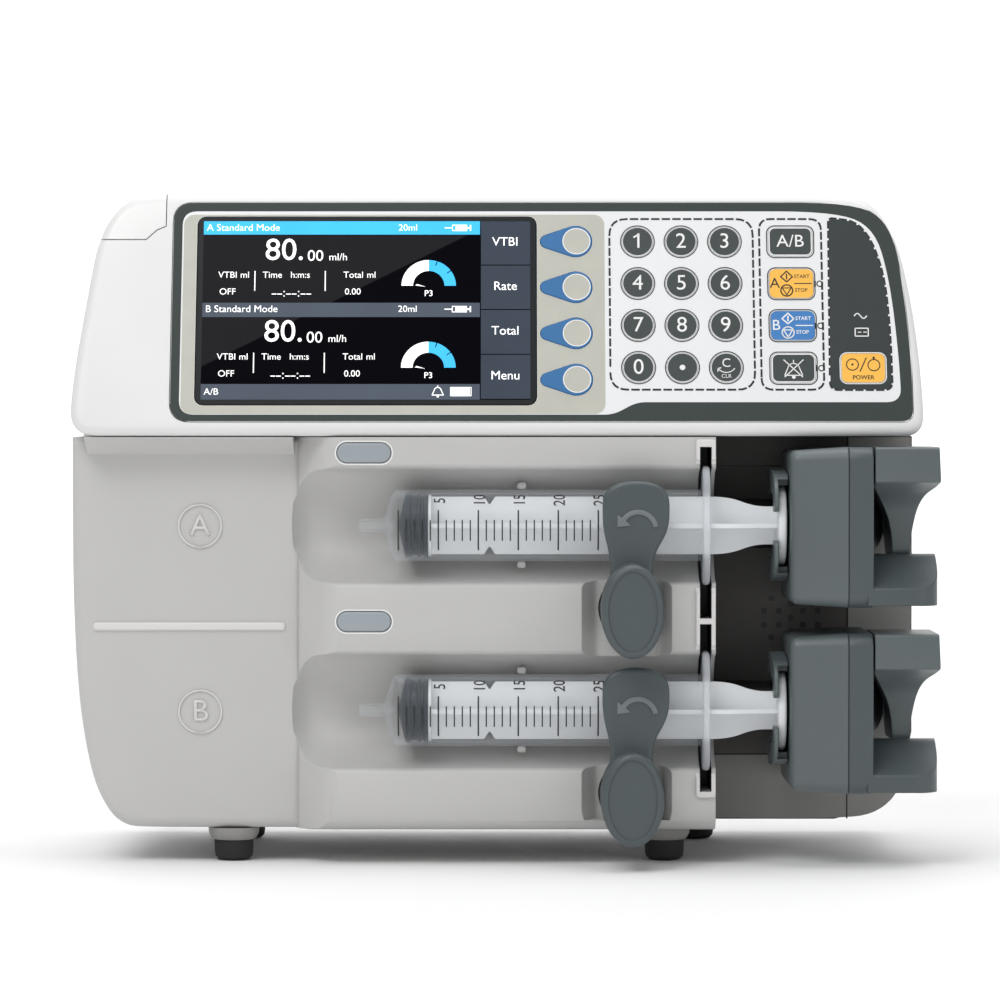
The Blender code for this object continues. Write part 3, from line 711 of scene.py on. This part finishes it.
def make_rear_fittings():
    """Recessed screws, and the mains inlet's pins and dark floor."""
    heads = [pillow("front", circle(x, z, 2.9, 32), 65.5, 68.0, 0.5, 3) for x, z in REAR_SCREWS]
    screws = make("rear_screws", group(heads), STEEL)
    slots = []
    for x, z in REAR_SCREWS:
        for wide, tall in ((1.9, 0.35), (0.35, 1.9)):
            slots.append(block((x - wide, x + wide), (67.4, 68.4), (z - tall, z + tall)))
    combine(screws, "DIFFERENCE", slots)
    pins = [block((x - 2.0, x + 2.0), (60.5, 71.0), (33.5, 35.5)) for x in (98.0, 112.0)]
    pins.append(block((104.0, 106.0), (60.5, 71.0), (38.5, 42.5)))
    make("inlet_pins", group(pins), STEEL)
    floor = sheet(rectangle(90.2, 25.2, 119.8, 47.0))
    print_on("inlet_floor", [floor], BLACK, plane="front", face=61.3, layer=0)


# ---------------------------------------------------------------- drive bay

def make_bay():
    """Cover seams, the edge of the rear case beside it drawn paler as painted light, and the speaker holes.
    """
    def bay_print(name, shapes, material, layer):
        print_on(name, shapes, material, layer=layer, plane="front", face=-4.0)

    # The cover is drawn dark as painted shade of the recess.
    paint("drive_bay_cover", BAY_SHADE)
    # Painted light: the edge beside the cover drawn paler where it catches the light.
    corners = [(140.5, 141.8, 0.5), (118.6, 141.8, 0.5), (118.6, 32.0, 0.5), (71.4, 32.0, 0.5)]
    edge = soften([(71.4, 9.9, 0.5)] + CASE_RIGHT[::-1] + corners, 14.0, 6)
    bay_print("bay_edge", [sheet(inset(edge, 0.2))], EDGE_LIGHT_AND_COLLAR, -3)
    seams = [line([(118.4, 141.8), (118.4, 9.9)], 0.5)]
    seams += [line([(71.4, z), (118.4, z)], 0.5) for z in (32.2, 131.8)]
    bay_print("bay_seams", seams, BLACK, -6)
    x, z = 99.0, 79.3
    holes = [circle(x, z, 1.1, 20)]
    for radius, count in ((4.8, 6), (9.6, 12)):
        for k in range(count):
            t = 2 * math.pi * (k + 0.5) / count
            holes.append(circle(x + radius * math.cos(t), z + radius * math.sin(t), 1.1, 20))
    bay_print("speaker_holes", [sheet(hole) for hole in holes], BLACK, -4)


# ---------------------------------------------------------------- operating panel

NUMBER_KEYS = ["1", "2", "3", "4", "5", "6", "7", "8", "9", "0", "point", "clear"]
NUMBER_AT = (45.1, 65.2)
NUMBER_PITCH = (14.75, 15.0)
SOFT_AT = (24.1, 65.3)
SOFT_PITCH = 16.45
BLOCK_KEYS = {
    "key_channel": (96.9, 65.2),
    "key_start_a": (97.0, 50.1),
    "key_start_b": (97.2, 35.1),
    "key_mute": (97.2, 20.0),
    "key_power": (120.6, 20.0),
}
KEY_LAMPS = (50.1, 35.1, 20.0)
KEY_TOP = 0.5               # above the panel


def key_print(name, shapes, material, layer):
    """Print that moves with its key."""
    body = name.rsplit("_ink_", 1)[0] + "_body"
    print_on(name, shapes, material, body, layer, face=KEY_TOP)


def number_centres():
    for index, label in enumerate(NUMBER_KEYS):
        a = NUMBER_AT[0] + (index % 3) * NUMBER_PITCH[0]
        b = NUMBER_AT[1] - (index // 3) * NUMBER_PITCH[1]
        yield label, a, b


def make_number_keys():
    for label, a, b in number_centres():
        paint("key_" + label, KEY_RIM)
        key_print(f"key_{label}_ink_face", [sheet(circle(a, b, 4.95))], KEY_DARK, 1)
        if label == "point":
            mark = [sheet(circle(a, b, 0.95, 24))]
        elif label == "clear":
            swing = arc(a, b + 1.6, 3.4, 215, 325, 12)
            mark = [letters("C", 4.4, a, b + 1.5), line(swing, 0.35), letters("CLR", 1.9, a, b - 3.1)]
            x, y = swing[0]
            mark.append(line([(x + 1.0, y + 0.2), (x, y), (x - 0.1, y - 1.1)], 0.35))
        elif label == "1":
            flag = line([(a - 1.25, b + 1.5), (a + 0.25, b + 2.45)], 0.6)
            mark = [letters(label, 7.6, a + 0.3, b), flag]
        else:
            mark = [letters(label, 7.6, a, b)]
        key_print(f"key_{label}_ink_mark", mark, WHITE_INK, 2)


def start_stop(a, b, label):
    """The channel's letter, and a start symbol over a stop symbol with their words."""
    x = a - 1.6
    diamond = [(x - 2.0, b + 2.4), (x, b + 4.4), (x + 2.0, b + 2.4), (x, b + 0.6)]
    return [
        line(diamond, 0.45, True),
        line([(x, b + 1.6), (x, b + 3.4)], 0.45),
        line(circle(x, b - 2.5, 2.0, 28), 0.45, True),
        line([(x - 1.5, b - 1.6), (x + 1.5, b - 1.6), (x, b - 4.1)], 0.35, True),
        line([(x + 2.6, b), (x + 8.4, b)], 0.35),
        letters("START", 1.8, x + 2.5, b + 2.5, "LEFT", 0.02),
        letters("STOP", 1.8, x + 2.7, b - 2.4, "LEFT", 0.02),
        letters(label, 5.2, a - 5.6, b),
    ]


def crossed_bell(a, b):
    dome = arc(a, b - 0.4, 2.0, 170, 10, 14)
    return [
        line([(a - 3.0, b - 2.6)] + dome + [(a + 3.0, b - 2.6)], 0.35, True),
        sheet(circle(a, b - 3.2, 0.65, 16)),
        line([(a - 3.3, b + 2.9), (a + 3.0, b - 3.2)], 0.35),
        line([(a + 3.3, b + 2.9), (a - 3.0, b - 3.2)], 0.35),
        line([(a, b + 1.4), (a, b + 2.8)], 0.35),
    ]


def power_marks(a, b):
    return [
        line(circle(a - 3.6, b + 1.2, 2.0, 28), 0.35, True),
        sheet(circle(a - 3.6, b + 1.2, 0.4, 12)),
        line(circle(a + 3.6, b + 1.0, 2.0, 28), 0.35, True),
        sheet(circle(a + 3.6, b + 3.6, 0.45, 12)),
        line([(a - 1.1, b - 1.2), (a + 1.1, b + 3.6)], 0.4),
        letters("POWER", 2.1, a, b - 3.4, bold=0.03),
    ]


def make_block_keys():
    dark, lit, power = (13.9, 9.4, 1.8), (14.7, 10.2, 2.0), (14.5, 10.2, 2.0)
    for name, size, face, ink_colour, marks in (
        ("key_channel", dark, KEY_DARK, WHITE_INK, lambda a, b: [letters("A/B", 6.2, a, b)]),
        ("key_start_a", lit, ORANGE, DARK_INK, lambda a, b: start_stop(a, b, "A")),
        ("key_start_b", lit, BLUE, WHITE_INK, lambda a, b: start_stop(a, b, "B")),
        ("key_mute", dark, KEY_DARK, WHITE_INK, crossed_bell),
        ("key_power", power, ORANGE, DARK_INK, power_marks),
    ):
        a, b = BLOCK_KEYS[name]
        paint(name, KEY_RIM)
        key_print(name + "_ink_face", [sheet(rounded(a, b, *size))], face, 1)
        key_print(name + "_ink_mark", marks(a, b), ink_colour, 2)


def make_soft_keys():
    for row in range(4):
        b = SOFT_AT[1] - row * SOFT_PITCH
        name = f"key_soft_{row + 1}"
        paint(name, SOFT_BLUE)
        a = SOFT_AT[0] + 0.3
        key_print(name + "_ink_ring", [sheet(circle(a, b, 4.75), circle(a, b, 4.4))], WHITE_INK, 2)
        key_print(name + "_ink_face", [sheet(circle(a, b, 4.45))], BEIGE, 1)


def teardrop(b, grow):
    """Outline of a soft key's hole."""
    return inset(arc(SOFT_AT[0], b, 5.6, -110, 110, 24) + arc(14.5, b, 2.4, 110, 250, 12), -grow)


def block_key(name, grow):
    a, b = BLOCK_KEYS[name]
    return rounded(a, b, 14.8 + 2 * grow, 10.3 + 2 * grow, 2.1 + grow)


def make_panel_print():
    """Everything printed on the keypad overlay."""
    paint("keypad_overlay", FOIL)
    inner = soften([
        (-109.2, 3.6, 5.0), (36.5, 3.6, 3.0), (44.5, 8.0, 3.0), (133.2, 8.0, 5.0), (132.6, 26.0),
        (130.2, 52.0), (125.5, 70.5), (112.0, 76.2), (-109.2, 76.2, 5.0),
    ])
    print_on("panel_band", [sheet(inset(OVERLAY, 0.1), inner)], BAND)
    soft_holes = [teardrop(SOFT_AT[1] - row * SOFT_PITCH, 0.25) for row in range(4)]
    beige = rounded(-37.4, 39.4, 142.6, 71.2, 3.6)
    print_on("beige_field", [sheet(beige, inset(WINDOW, -0.1), *soft_holes)], BEIGE)
    field = soften([
        (109.2, 12.2, 3.0), (130.4, 12.2, 3.0), (130.2, 34.0), (128.4, 56.0), (121.5, 72.5),
        (109.8, 74.0, 2.0),
    ])
    print_on("power_field", [sheet(field, block_key("key_power", 0.2))], FIELD)
    print_on("power_field_edge", [line(field, 0.5, True)], WHITE_INK, layer=2)
    rings = [sheet(circle(a, b, 5.9), circle(a, b, 5.55)) for _, a, b in number_centres()]
    for name in ("key_channel", "key_start_a", "key_start_b", "key_mute"):
        rings.append(sheet(block_key(name, 0.75), block_key(name, 0.38)))
    dashed = [
        dashes(soften(rectangle(35.6, 12.4, 84.2, 73.4), 6.0, 6), 2.6, 1.0, 0.68),
        dashes(soften(rectangle(86.4, 12.4, 107.4, 73.4), 4.0, 6), 2.6, 1.0, 0.68),
        dashes(field, 2.6, 0.9, 0.5),
    ]
    windows = [circle(106.6, b, 0.75, 24) for b in KEY_LAMPS]
    lamps = [sheet(circle(106.6, b, 1.15, 24), window) for b, window in zip(KEY_LAMPS, windows)]
    lamps += [sheet(rectangle(104.7, b - 1.1, 105.3, b + 1.1)) for b in KEY_LAMPS]
    print_on("panel_lines", rings + dashed + lamps, DARK_INK, layer=3)
    wave = [(118.0 + 0.35 * k, 38.6 + 0.9 * math.sin(k / 12 * 2 * math.pi)) for k in range(13)]
    marks = [line(wave, 0.4), line(rectangle(118.2, 31.4, 122.6, 34.2), 0.35, True)]
    marks += [line([(x, 32.8), (x + 1.0, 32.8)], 0.3) for x in (119.2, 121.0)]
    marks.append(line(block_key("key_power", 0.35), 0.3, True))
    print_on("panel_symbols", marks, KEY_RIM, layer=4)
    print_on("key_lamps", [sheet(window) for window in windows], WHITE_INK, layer=2)


def blank_time(a, b):
    """Three pairs of dashes with colons between them."""
    shapes = []
    for pair in range(3):
        start = a + pair * 4.9
        shapes += [line([(x, b), (x + 1.5, b)], 0.35) for x in (start, start + 1.9)]
        if pair:
            shapes += [sheet(circle(start - 0.75, b + up, 0.25, 10)) for up in (-0.7, 0.9)]
    return shapes


def make_screen():
    """The display's bezel, its lit strips, figures and gauges."""
    paint("display_module", BEZEL)
    left, right, low, high = -102.0, 8.7, 8.9, 72.6
    split = -8.3
    print_on("screen_glass", [sheet(rectangle(left, low, right, high))], SCREEN)
    print_on("screen_strip_a", [sheet(rectangle(left, 67.8, split, high))], CYAN, layer=2)
    grey = [rectangle(left, 38.2, split, 43.3), rectangle(left, low, split, 14.4)]
    print_on("screen_strip_b", [sheet(outline) for outline in grey], SCREEN_GREY, layer=2)
    cells, text, shade_text = [], [], []
    height = (high - low) / 4
    for row, label in enumerate(("VTBI", "Rate", "Total", "Menu")):
        top = high - row * height
        cells.append(sheet(rectangle(split + 0.35, top - height + 0.3, right, top - 0.05)))
        text.append(letters(label, 4.4, 0.3, top - height * 0.47))
    print_on("screen_cells", cells, SCREEN_CELL, layer=2)
    for shift, label in ((0.0, "A"), (-29.2, "B")):
        for words, size, at, up, bold in (
            (label + " Standard Mode", 3.5, -101.0, 70.2, 0.0),
            ("20ml", 3.3, -36.0, 70.2, 0.0),
            ("80.", 11.0, -81.2, 62.0, 0.03),
            ("00", 5.6, -66.8, 60.0, 0.0),
            ("ml/h", 3.6, -59.5, 59.6, 0.0),
            ("VTBI", 3.2, -96.8, 53.2, 0.0),
            ("ml", 3.2, -89.4, 53.2, 0.0),
            ("Time", 3.2, -81.8, 53.2, 0.0),
            ("h:m:s", 3.2, -72.4, 53.2, 0.0),
            ("Total", 3.2, -54.5, 53.2, 0.0),
            ("ml", 3.2, -46.6, 53.2, 0.0),
            ("OFF", 3.2, -96.4, 47.2, 0.0),
            ("0.00", 3.2, -54.0, 47.2, 0.0),
        ):
            text.append(letters(words, size, at, up + shift, "LEFT", bold))
        text += [*blank_time(-78.6, 46.4 + shift), letters("P3", 3.0, -25.6, 46.6 + shift, bold=0.02)]
        shade_text += [line([(x, 54.6 + shift), (x, 47.6 + shift)], 0.35) for x in (-84.4, -60.6)]
        a, b = -25.6, 49.4 + shift
        text.append(sheet(arc(a, b, 9.2, 90, 180, 20) + arc(a, b, 5.3, 180, 90, 20)))
        shade_text.append(([(a - 3.9, b + 0.6), (a - 4.6, b + 0.1), (a - 1.0, b - 0.4)], [(0, 1, 2)]))
        name = f"screen_gauge_{label.lower()}"
        print_on(name, [sheet(arc(a, b, 9.2, 0, 90, 20) + arc(a, b, 5.3, 90, 0, 20))], CYAN, layer=2)
        ticks = []
        for degrees in (36, 72, 108, 144):
            t = math.radians(degrees)
            ends = [(a + radius * math.cos(t), b + radius * math.sin(t)) for radius in (7.7, 9.2)]
            ticks.append(line(ends, 0.3))
        print_on(name + "_ticks", ticks, SCREEN, layer=4)
        b = 70.2 + shift
        text += [
            line(rectangle(-17.6, b - 1.0, -12.8, b + 1.0), 0.3, True),
            line([(-20.2, b), (-17.6, b)], 0.35),
            sheet(rectangle(-16.6, b - 0.7, -12.8, b + 0.7)),
            line([(-12.8, b), (-11.6, b)], 0.6),
            line([(-11.5, b - 1.0), (-11.5, b + 1.0)], 0.45),
        ]
    text.append(letters("A/B", 3.3, -101.0, 11.6, "LEFT"))
    text.append(sheet(rectangle(-17.8, 10.5, -11.6, 12.9)))
    text.append(line(rectangle(-18.1, 10.2, -11.2, 13.2), 0.25, True))
    bell = [(-24.3, 10.5)] + arc(-22.4, 12.0, 1.2, 175, 5, 8) + [(-20.5, 10.5)]
    text += [line(bell, 0.3, True), sheet(circle(-22.4, 10.0, 0.4, 12))]
    text.append(line([(-22.4, 13.2), (-22.4, 13.8)], 0.3))
    print_on("screen_text", text + shade_text, SCREEN_WHITE, layer=5)


# ---------------------------------------------------------------- syringes

def wrapped(shape, at, up, radius, axis):
    """Flat marks, turned a quarter, on the front of a barrel: text runs up and its top faces left."""
    points, faces = shape
    moved = []
    for u, v in points:
        t = (up + u) / radius
        moved.append(Vector((at - v, SYRINGE_Y - radius * math.cos(t), axis + radius * math.sin(t))))
    return moved, faces


def stroke(at, low, high, width, radius, axis):
    """A graduation line round part of the barrel."""
    start, end = math.asin(low / radius), math.asin(high / radius)
    steps = 8
    points = []
    for k in range(steps + 1):
        t = start + (end - start) * k / steps
        y, z = SYRINGE_Y - radius * math.cos(t), axis + radius * math.sin(t)
        points += [Vector((at - width / 2, y, z)), Vector((at + width / 2, y, z))]
    faces = [(2 * k, 2 * k + 1, 2 * k + 3, 2 * k + 2) for k in range(steps)]
    return points, faces


def make_syringe(channel):
    axis = CHANNELS[channel]
    at = (SYRINGE_Y, axis)
    body = [(1.9, -49.0), (2.0, -48.8), (2.3, -40.9), (2.9, -40.2), (5.5, -39.6)]
    body += [(11.2, -37.5), (11.8, -37.0), (BARREL_R, -36.2), (BARREL_R, 66.0)]
    barrel = make(f"barrel_{channel}", turned("side", at, body, 96), CLEAR)
    flange = pillow("side", rounded(*at, 26.0, 40.0, 9.0, 12), 66.4, 68.8, 0.8, 4, True)
    grip = make(f"barrel_flange_{channel}", flange, CLEAR_THICK)
    combine(grip, "DIFFERENCE", [turned("side", at, [(BORE_R, 60.0), (BORE_R, 75.0)], 96)])
    bore = turned("side", at, [(BORE_R, -35.9), (BORE_R, 80.0)], 96)
    combine(barrel, "DIFFERENCE", [bore, turned("side", at, [(1.1, -55.0), (1.1, -35.0)], 24)])
    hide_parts(f"syringe_barrel_{channel}")
    ink_r = BARREL_R + 0.04
    pitch = 13.37
    marks = []
    for step in range(26):
        major = step % 5 == 0
        low, high = (-8.1, 5.4) if major else (-4.9, 2.1)
        marks.append(stroke(-35.5 + step * pitch / 5, low, high, 0.52 if major else 0.44, ink_r, axis))
    for number in (5, 10, 15, 20, 25):
        width = 4.6 if number > 9 else 2.6
        text = letters(str(number), 5.5, -width / 2, 0.0, "LEFT", 0.05)
        marks.append(wrapped(text, -34.9 + number / 5 * pitch, 9.4, ink_r, axis))
    make(f"barrel_marks_{channel}", group(marks), MARK, solid=False)
    carriage = f"carriage_{channel}"
    ribs = [(2.0, -35.4), (10.6, -33.4), (11.0, -33.0), (11.0, -31.6), (10.1, -31.2), (10.1, -29.4)]
    ribs += [(10.9, -29.0), (10.9, -28.4), (10.1, -28.0), (10.1, -27.2), (11.0, -26.8), (11.0, -25.6)]
    stopper = make(f"stopper_{channel}", turned("side", at, ribs, 96), STOPPER, carriage)
    fin = [(-25.9, 9.7, 0.5), (75.5, 9.7, 6.0), (84.0, 6.4, 6.0), (91.8, 6.4, 0.5)]
    notched = fin[:1] + [(-6.9, 9.7, 0.1), (-5.0, 6.9, 0.6), (-3.1, 9.7, 0.1)] + fin[1:]
    upright, level = (
        soften([(x, middle + z, r) for x, z, r in half] + [(x, middle - z, r) for x, z, r in half[::-1]])
        for half, middle in ((notched, axis), (fin, SYRINGE_Y))
    )
    fins = prism("front", upright, SYRINGE_Y - 0.75, SYRINGE_Y + 0.75)
    rod = make(f"plunger_rod_{channel}", fins, MILKY, carriage)
    disc = pillow("side", circle(*at, 13.6, 72), 91.6, 94.4, 0.9, 4, True)
    seat = turned("side", at, [(10.4, -25.9), (10.4, -24.6)], 72)
    combine(rod, "UNION", [prism("top", level, axis - 0.75, axis + 0.75), disc, seat])
    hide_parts(f"plunger_{channel}")


# ---------------------------------------------------------------- clamps

def make_clamp(channel):
    x, z = CLAMP_X, CHANNELS[channel] - CLAMP_DROP
    outline = soften([
        (x + 12.6, z + 27.0, 5), (x + 12.6, z + 43.0, 11),
        (x - 9.7, z + 43.0, 11), (x - 9.7, z + 27.0, 5),
        (x - 7.0, z + 17.5, 6), (x - 7.4, z + 8.0, 4), (x - 7.5, z - 8.0, 4), (x, z - 10.0, 4),
        (x + 7.5, z - 8.0, 4), (x + 7.4, z + 8.0, 4), (x + 6.8, z + 17.5, 6),
    ], 14.0, 8)
    paddle = pillow("front", outline, -54.7, -60.4, 1.6, 5, True)
    arm = make(f"arm_{channel}", paddle, SLATE_GRIP, f"arm_{channel}")
    edge = oval(x, z, 20.8, 31.2, 72)
    combine(arm, "UNION", [pillow("front", edge, -54.8, -75.0, 2.0, 7)])
    combine(arm, "DIFFERENCE", [prism("front", inset(edge, 2.3), -76.0, -74.6)])
    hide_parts(f"clamp_arm_{channel}")
    a, b = x + 2.1, z + 26.8
    band = arc(a, b, 6.7, 10, 144, 18) + [(a - 6.9, b + 5.0), (a - 6.9, b + 0.9), (a - 2.5, b + 1.4)]
    band += arc(a, b, 5.1, 144, 10, 18)
    arrow = stack("front", [(band, -60.2), (band, -60.75), (inset(band, 0.3), -60.9)])
    # The raised arrow is drawn lighter than its arm as painted highlight.
    make(f"arm_arrow_{channel}", arrow, ARROW_HIGHLIGHT, f"arm_{channel}")
    paint(f"clamp_shaft_{channel}", SLATE_DARK)


# ---------------------------------------------------------------- carriages

def make_carriage(channel):
    axis = CHANNELS[channel]
    carriage = f"carriage_{channel}"
    outline = rounded(-33.75, axis - 0.3, 56.5, 53.6, 5.0, 8)
    levels = [(outline, 114.45)]
    for k in range(7):
        t = math.pi / 2 * k / 6
        levels.append((inset(outline, 1.1 + 2.6 * (1 - math.cos(t))), 95.3 + 2.6 * (1 - math.sin(t))))
    shell = make(f"shell_{channel}", stack("side", levels), SLATE, carriage)
    pins = [(CLAW_PIN[0], axis + side * CLAW_PIN[1]) for side in (-1, 1)]
    combine(shell, "UNION", [turned("side", pin, [(2.0, 90.2), (2.0, 96.5)], 32) for pin in pins])
    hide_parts(f"carriage_shell_{channel}")
    plate = pillow("side", outline, 114.6, 122.8, 0.5, 3, True)
    grip = make(f"grip_{channel}", plate, SLATE_GRIP, carriage)
    low = axis - 26.4
    side = soften([
        (-62, low, 0.8), (-62, low + 5.7, 1.2), (-56, low + 8.6, 8), (-46, low + 16.0, 6),
        (-41, low + 17.0, 0.8), (-41, low, 0.8),
    ])
    ledge = make("ledge", prism("side", side, 121.0, 144.9), SLATE_GRIP, body=None)
    plan = [(118.0, -62.0, 0.5), (144.9, -62.0, 11.0), (144.9, -40.0, 0.5), (118.0, -40.0, 0.5)]
    plan = soften(plan, 11.0, 10)
    combine(ledge, "INTERSECT", [prism("top", plan, low - 5, low + 25)])
    boolean(grip, "UNION", ledge)
    combine(grip, "UNION", [turned("side", (DRIVE_Y, axis), [(4.0, 121.0), (4.0, 139.0)], 40)])
    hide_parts(f"carriage_grip_{channel}")
    paint(f"drive_tube_{channel}", BLACK)
    make_lever(channel)
    make_claw(channel, "upper", 1)
    make_claw(channel, "lower", -1)
    dome = [(10.4, 122.6), (10.2, 124.2), (9.4, 126.2), (7.8, 128.0), (5.0, 129.3), (1.0, 129.8)]
    hub = turned("side", (DRIVE_Y, axis), dome, 56)
    make(f"hub_{channel}", hub, SLATE_DARK, carriage)
    make_lead_screw(channel)
    paint(f"drive_motor_{channel}", STEEL)
    dot = pillow("side", circle(SYRINGE_Y, axis + 1.2, 0.9, 24), 95.4, 94.9, 0.2, 3)
    make(f"sensor_{channel}", dot, SLATE, carriage)


def make_lead_screw(channel):
    """Lead screw with a trapezoidal thread of 4 mm pitch and a plain coupling end."""
    axis, around, pitch, root = CHANNELS[channel], 20, 4.0, 3.3
    ends = ((5.2, -104.6), (5.2, -96.0), (root, -95.8))
    levels = [(circle(LEAD_Y, axis, radius, around), x) for radius, x in ends]
    for k in range(1, int(156.0 / pitch * 8)):
        ring = []
        for i in range(around):
            rise = abs(2.0 * ((k / 8 - i / around) % 1.0) - 1.0)
            radius = root + 0.68 * min(1.0, max(0.0, 2.5 * rise - 0.75))
            turn = 2 * math.pi * i / around
            ring.append((LEAD_Y + radius * math.cos(turn), axis + radius * math.sin(turn)))
        levels.append((ring, -95.8 + pitch * k / 8))
    levels.append((circle(LEAD_Y, axis, root, around), 60.2))
    screw = make(f"thread_{channel}", stack("side", levels), STEEL, f"screw_{channel}")
    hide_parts(f"lead_screw_{channel}")


def make_claw(channel, label, side):
    """Claw whose thin hook holds the plunger disc, open to the front."""
    axis = CHANNELS[channel]
    plate = soften([
        (-58.2, 7.0, 1.0), (-57.2, 12.8, 3.0), (-51.5, 16.9, 3.0), (-42.0, 18.2), (-30.0, 19.4),
        (-22.0, 18.4, 3.0), (-19.3, 15.6, 2.0), (-19.0, 12.8, 1.0), (-21.0, 10.4, 1.5), (-24.0, 10.1, 1.0),
        (-28.0, 12.0, 3.0), (-46.8, 10.5, 1.5), (-47.5, 4.8, 1.0), (-56.5, 4.8, 1.5),
    ], 4.0, 4)
    body = f"claw_{label}_{channel}"
    outline = [(y, axis + side * z) for y, z in plate]
    claw = make(body + "_look", prism("side", outline, 90.1, 94.9), SLATE, body)
    front = block((91.4, 100.0), (-70.0, -50.0), (axis - 15.6, axis + 15.6))
    pin = (CLAW_PIN[0], axis + side * CLAW_PIN[1])
    hole = turned("side", pin, [(2.3, 85.0), (2.3, 100.0)], 32)
    seat = turned("side", (SYRINGE_Y, axis), [(15.6, 91.4), (15.6, 100.0)], 96)
    combine(claw, "DIFFERENCE", [seat, front, hole])
    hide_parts(f"claw_{label}_{channel}")


def make_lever(channel):
    """Release lever, as one outline from the side cut by another from the front."""
    axis = CHANNELS[channel]
    side = soften([
        (-62.0, 26.5, 1.5), (-62.0, 14.8, 1.0), (-55.5, 13.6, 4), (-46.5, 9.6, 5), (-42.5, 0.0, 6),
        (-40.5, -10.2, 2), (-11.0, -10.5, 3), (-7.5, -3.0, 3), (-7.5, 4.0, 4), (-12.0, 10.0, 4),
        (-20.0, 14.0, 4), (-24.0, 26.5, 3),
    ], 6.0, 6)
    front = soften([
        (123.4, 32.0, 0.5), (123.4, 13.6, 0.6), (129.0, 4.0, 8), (130.8, -5.0, 6), (130.9, -12.0, 0.5),
        (136.6, -12.0, 0.5), (136.9, -3.0, 8), (139.4, 9.0, 7), (145.2, 14.0, 2.0), (144.4, 32.0, 0.5),
    ], 8.0, 8)
    body = f"lever_{channel}"
    lever = make(body, prism("side", [(y, axis + z) for y, z in side], 123.4, 146.2), SLATE, body)
    combine(lever, "INTERSECT", [prism("front", [(x, axis + z) for x, z in front], -70.0, 0.0)])
    combine(lever, "DIFFERENCE", [turned("side", (DRIVE_Y, axis), [(4.3, 120.0), (4.3, 150.0)], 40)])
    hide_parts(f"release_lever_{channel}")


# ---------------------------------------------------------------- the rest

FEET = {
    "foot_front_left": (-92.0, -29.0),
    "foot_front_right": (54.4, -29.0),
    "foot_rear_left": (-92.0, 47.0),
    "foot_rear_right": (68.0, 47.0),
}


def make_lamps_and_feet():
    for channel, z in LAMP_Z.items():
        ring = sheet(rounded(LAMP_X, z, 19.6, 8.2, 4.0), rounded(LAMP_X, z, 18.6, 7.2, 3.6))
        outline = print_on(f"lamp_outline_{channel}", [ring], WHITE_INK, plane="front", face=-50.0, layer=-2)
        cap = pillow("front", rounded(LAMP_X, z, 18.1, 6.7, 3.3), -48.5, -50.4, 0.7, 4)
        lamp = make(f"lamp_{channel}", cap, LENS)
        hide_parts(f"channel_lamp_{channel}")
    tread = [(3.6, -1.8), (5.2, -1.5), (6.3, -0.5), (6.6, 1.0), (6.7, 5.6)]
    collar = [(6.9, 5.3), (7.6, 5.7), (8.5, 7.4), (8.7, 9.5)]
    for name, at in FEET.items():
        foot = make(name + "_tread", turned("top", at, tread), RUBBER)
        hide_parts(name)
        make(name + "_collar", turned("top", at, collar), EDGE_LIGHT_AND_COLLAR)
    paint("main_board", BOARD)
    paint("battery_pack", SLATE_DARK)


def make_studio():
    """Pale floor with a rising backdrop, soft boxes and the camera."""
    white = Nodes("studio_white")
    grain(white, (0.90, 0.90, 0.90), 0.005, 3.0, 0.0)
    white.set(Roughness=0.75)
    rise = [(-2.6, 0.0), (1.6, 0.0)]
    for k in range(1, 13):
        t = math.pi / 2 * k / 12
        rise.append((1.6 + 0.8 * math.sin(t), 0.8 - 0.8 * math.cos(t)))
    rise.append((2.4, 3.4))
    mesh = bpy.data.meshes.new("studio_floor")
    points = [(x, y, z) for y, z in rise for x in (-3.5, 3.5)]
    faces = [(2 * i, 2 * i + 1, 2 * i + 3, 2 * i + 2) for i in range(len(rise) - 1)]
    mesh.from_pydata(points, [], faces)
    mesh.shade_smooth()
    mesh.materials.append(white.material)
    floor = add_object("studio_floor", mesh)

    def aim_at(thing, at, aim):
        thing.location = at
        thing.rotation_euler = (Vector(aim) - thing.location).to_track_quat("-Z", "Y").to_euler()

    def soft_box(name, at, aim, width, height, power):
        light = bpy.data.lights.new(name, "AREA")
        light.shape = "RECTANGLE"
        light.size, light.size_y, light.energy = width, height, power
        aim_at(add_object(name, light), at, aim)

    soft_box("key_light", (-0.6, -1.1, 1.5), (0, 0, 0.1), 1.0, 0.7, 13.0)
    soft_box("top_light", (0.1, 0.1, 1.6), (0, -0.05, 0.1), 1.4, 1.0, 13.0)
    soft_box("fill_light", (1.6, -1.2, 0.7), (0, 0, 0.1), 1.0, 1.0, 4.0)
    soft_box("back_wall_light", (0.0, 0.9, 1.7), (0, 2.4, 1.5), 3.0, 0.5, 45.0)
    world = bpy.data.worlds.new("studio")
    world.use_nodes = True
    sky = world.node_tree.nodes["Background"]
    sky.inputs["Color"].default_value = (1.0, 1.0, 1.0, 1.0)
    sky.inputs["Strength"].default_value = 0.42
    bpy.context.scene.world = world
    camera = bpy.data.cameras.new("front_camera")
    camera.sensor_width = 36.0
    camera.lens = 161.2
    eye = add_object("front_camera", camera)
    aim_at(eye, (-0.0015, -1.55, 0.1532), (-0.0015, -0.05, 0.1227))
    bpy.context.scene.camera = eye
    bpy.context.scene.view_settings.view_transform = "Standard"


make_upper_case()
make_lower_case()
make_bed_stops()
make_slot_rims()
make_left_panel_marks()
make_rear_case()
make_rear_fittings()
make_bay()
make_panel_print()
make_number_keys()
make_block_keys()
make_soft_keys()
make_screen()
for channel in CHANNELS:
    make_syringe(channel)
    make_clamp(channel)
    make_carriage(channel)
make_lamps_and_feet()
make_studio()
